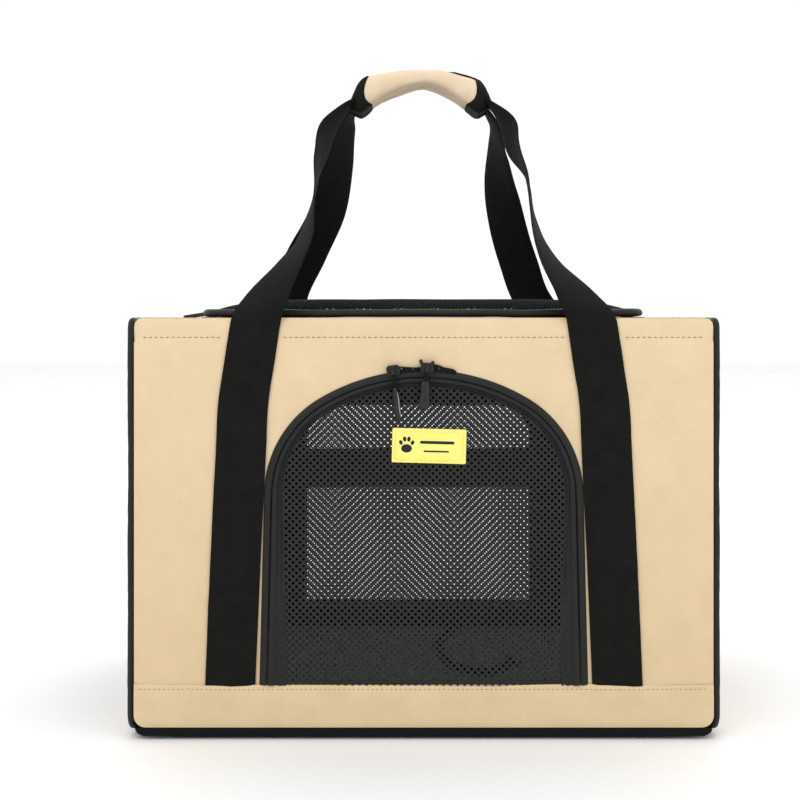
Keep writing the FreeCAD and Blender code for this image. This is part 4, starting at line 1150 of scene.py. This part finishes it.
BAR_TOP = ((-19.4, 283.0), (-13.5, 282.7), (-6.7, 282.2), (-2.4, 282.7), (2.5, 284.2), (7.8, 285.0), (11.7, 283.9),
           (15.5, 282.4), (21.8, 281.2), (24.6, 279.6))
BAR_LOW = ((24.6, 277.4), (12.0, 278.8), (0.0, 279.4), (-12.0, 279.0), (-19.8, 278.0))
AROUND = np.linspace(0, 2 * math.pi, 9)[:-1]
BAR_HOLES = [np.column_stack((x + radius * np.cos(AROUND), z + radius * np.sin(AROUND)))
             for x, z, radius in ((-16.8, 281.4, 0.8), (-8.4, 281.0, 0.6), (11.7, 281.6, 0.8))]
panel("zip_stop_bar", np.array(BAR_LOW + BAR_TOP), BAR_HOLES, 1.2, on_front, 2.4, 1.0, "cuff", ROOT)


# ---------------------------------------------------------------- label
LABEL_X, LABEL_Z, LABEL_TILT = 4.0, 223.0, math.radians(-1.5)
LABEL_HALF, LABEL_HALF_HIGH = 28, 13


def label_put(points, height):
    """On the door's net, tilted a little."""
    u, v = points[:, 0], points[:, 1]
    x = LABEL_X + u * math.cos(LABEL_TILT) - v * math.sin(LABEL_TILT)
    z = LABEL_Z + u * math.sin(LABEL_TILT) + v * math.cos(LABEL_TILT)
    flat = door_put(np.column_stack((x, z)), np.zeros(len(points)))
    flat[:, 1] = -142.5 - height
    return flat


def label_over(points):
    """The label's face, pressed in along its seam."""
    edge = np.minimum(LABEL_HALF - np.abs(points[:, 0]), LABEL_HALF_HIGH - np.abs(points[:, 1]))
    high = 0.55 - 0.35 * (1 - ease(edge, 0, 1.0)) - 0.18 * np.exp(-((edge - 2.4) / 0.7) ** 2)
    return high + 0.22 * ripple(*points.T, 22, 55)


LABEL_LOOP, _ = rounded_loop(-LABEL_HALF, LABEL_HALF, -LABEL_HALF_HIGH, LABEL_HALF_HIGH, 1.2, 1.2, 1.5)
panel("label_patch", LABEL_LOOP, [], 1.2, label_put, label_over, -0.35, "label", "front_door",
      ("door_label",))
seam_loop, _ = rounded_loop(-25.7, 25.7, -10.7, 10.7, 0.6, 0.6, 1.5)
stitches("label_stitches", label_put(seam_loop, label_over(seam_loop) + 0.02), TO_FRONT, 2.6, 1.7, 0.45,
         "label_edge", "front_door", closed=True)


def disc(u, v, width, height, turn=0.0):
    """An oval outline on the label, turned about its middle."""
    ring = oval(width, height, 20)
    c, s = math.cos(turn), math.sin(turn)
    return np.column_stack((u + ring[:, 0] * c - ring[:, 1] * s, v + ring[:, 0] * s + ring[:, 1] * c))


# A generic paw and two plain bars.
PRINTS = [disc(-17, -2.2, 8.2, 6.4), disc(-21.4, 2.2, 2.6, 3.6, 0.4), disc(-18.6, 4.8, 2.6, 3.8, 0.12),
          disc(-15.4, 4.8, 2.6, 3.8, -0.12), disc(-12.6, 2.2, 2.6, 3.6, -0.4)]
PRINTS += [rounded_loop(-7, 19, 1.6, 3.8, 1.0, 1.0, 1.0)[0], rounded_loop(-4, 15, -4.6, -3.4, 0.5, 0.5, 1.0)[0]]
for number, shape in enumerate(PRINTS):
    panel(f"label_print_{number}", shape, [], 0.9, label_put, lambda p: label_over(p) + 0.07,
          lambda p: label_over(p) - 0.15, "print", "front_door")


# ---------------------------------------------------------------- mat
MAT_X, MAT_Y, CHANNEL_PITCH = 215.7, 131.1, 72


def mat_over(points):
    """The mat's face: rounded at its edge, and sewn down in channels."""
    edge = np.minimum(MAT_X - np.abs(points[:, 0]), MAT_Y - np.abs(points[:, 1]))
    round_edge = 5.0 * (1 - rounding(edge, 7.0))
    channel = np.abs((points[:, 0] + 3 * CHANNEL_PITCH) % CHANNEL_PITCH - CHANNEL_PITCH / 2)
    sewn = 1.6 * np.exp(-(channel / 2.6) ** 2) * ease(edge, 4, 14)
    return 23.9 - round_edge - sewn + 0.5 * ripple(*points.T, 50, 61) * ease(edge, 2, 12)


MAT_LOOP, _ = rounded_loop(-MAT_X, MAT_X, -MAT_Y, MAT_Y, 14, 14)
mat = panel("mat_pad", MAT_LOOP, [], 5.0, on_top, mat_over, 12.6, "mat", ROOT, ("base_mat",))


# ---------------------------------------------------------------- carried-over nodes and the floor
KEPT = {
    "board": ("base_board",),
    "foam": ("front_foam", "rear_foam"),
    "lining": ("front_lining", "rear_lining"),
    "steel": ("front_top_rod", "rear_top_rod"),
    "hook_metal": ("snap_hook", "snap_hook_gate"),
    "slider": ("front_slider_left", "front_slider_right", "lid_slider_front", "lid_slider_rear"),
    "rubber": ("lid_puller_front", "lid_puller_rear"),
    "hook_and_loop": ("front_grip_tape", "rear_grip_tape"),
}
for finish, names in KEPT.items():
    for name in names:
        mesh = NODES[name].data
        mesh.materials.clear()
        mesh.materials.append(FINISH[finish])

FLOOR_DARK, FLOOR_LIGHT, FLOOR_HALF = (0.90, 0.90, 0.90, 1), (0.93, 0.93, 0.93, 1), 8
floor_material, tree, shader = new_material("floor", 0.75, specular=0.2)
cloudy = noise(tree, in_object(tree), 3.0)
feed(tree, shader.inputs["Base Color"], mix_colour(tree, cloudy, FLOOR_DARK, FLOOR_LIGHT))
floor_mesh = bpy.data.meshes.new("floor")
corners = [(x * FLOOR_HALF, y * FLOOR_HALF, 0) for x, y in ((-1, -1), (1, -1), (1, 1), (-1, 1))]
floor_mesh.from_pydata(corners, [], [(0, 1, 2, 3)])
floor_mesh.materials.append(floor_material)
placed("floor", floor_mesh)
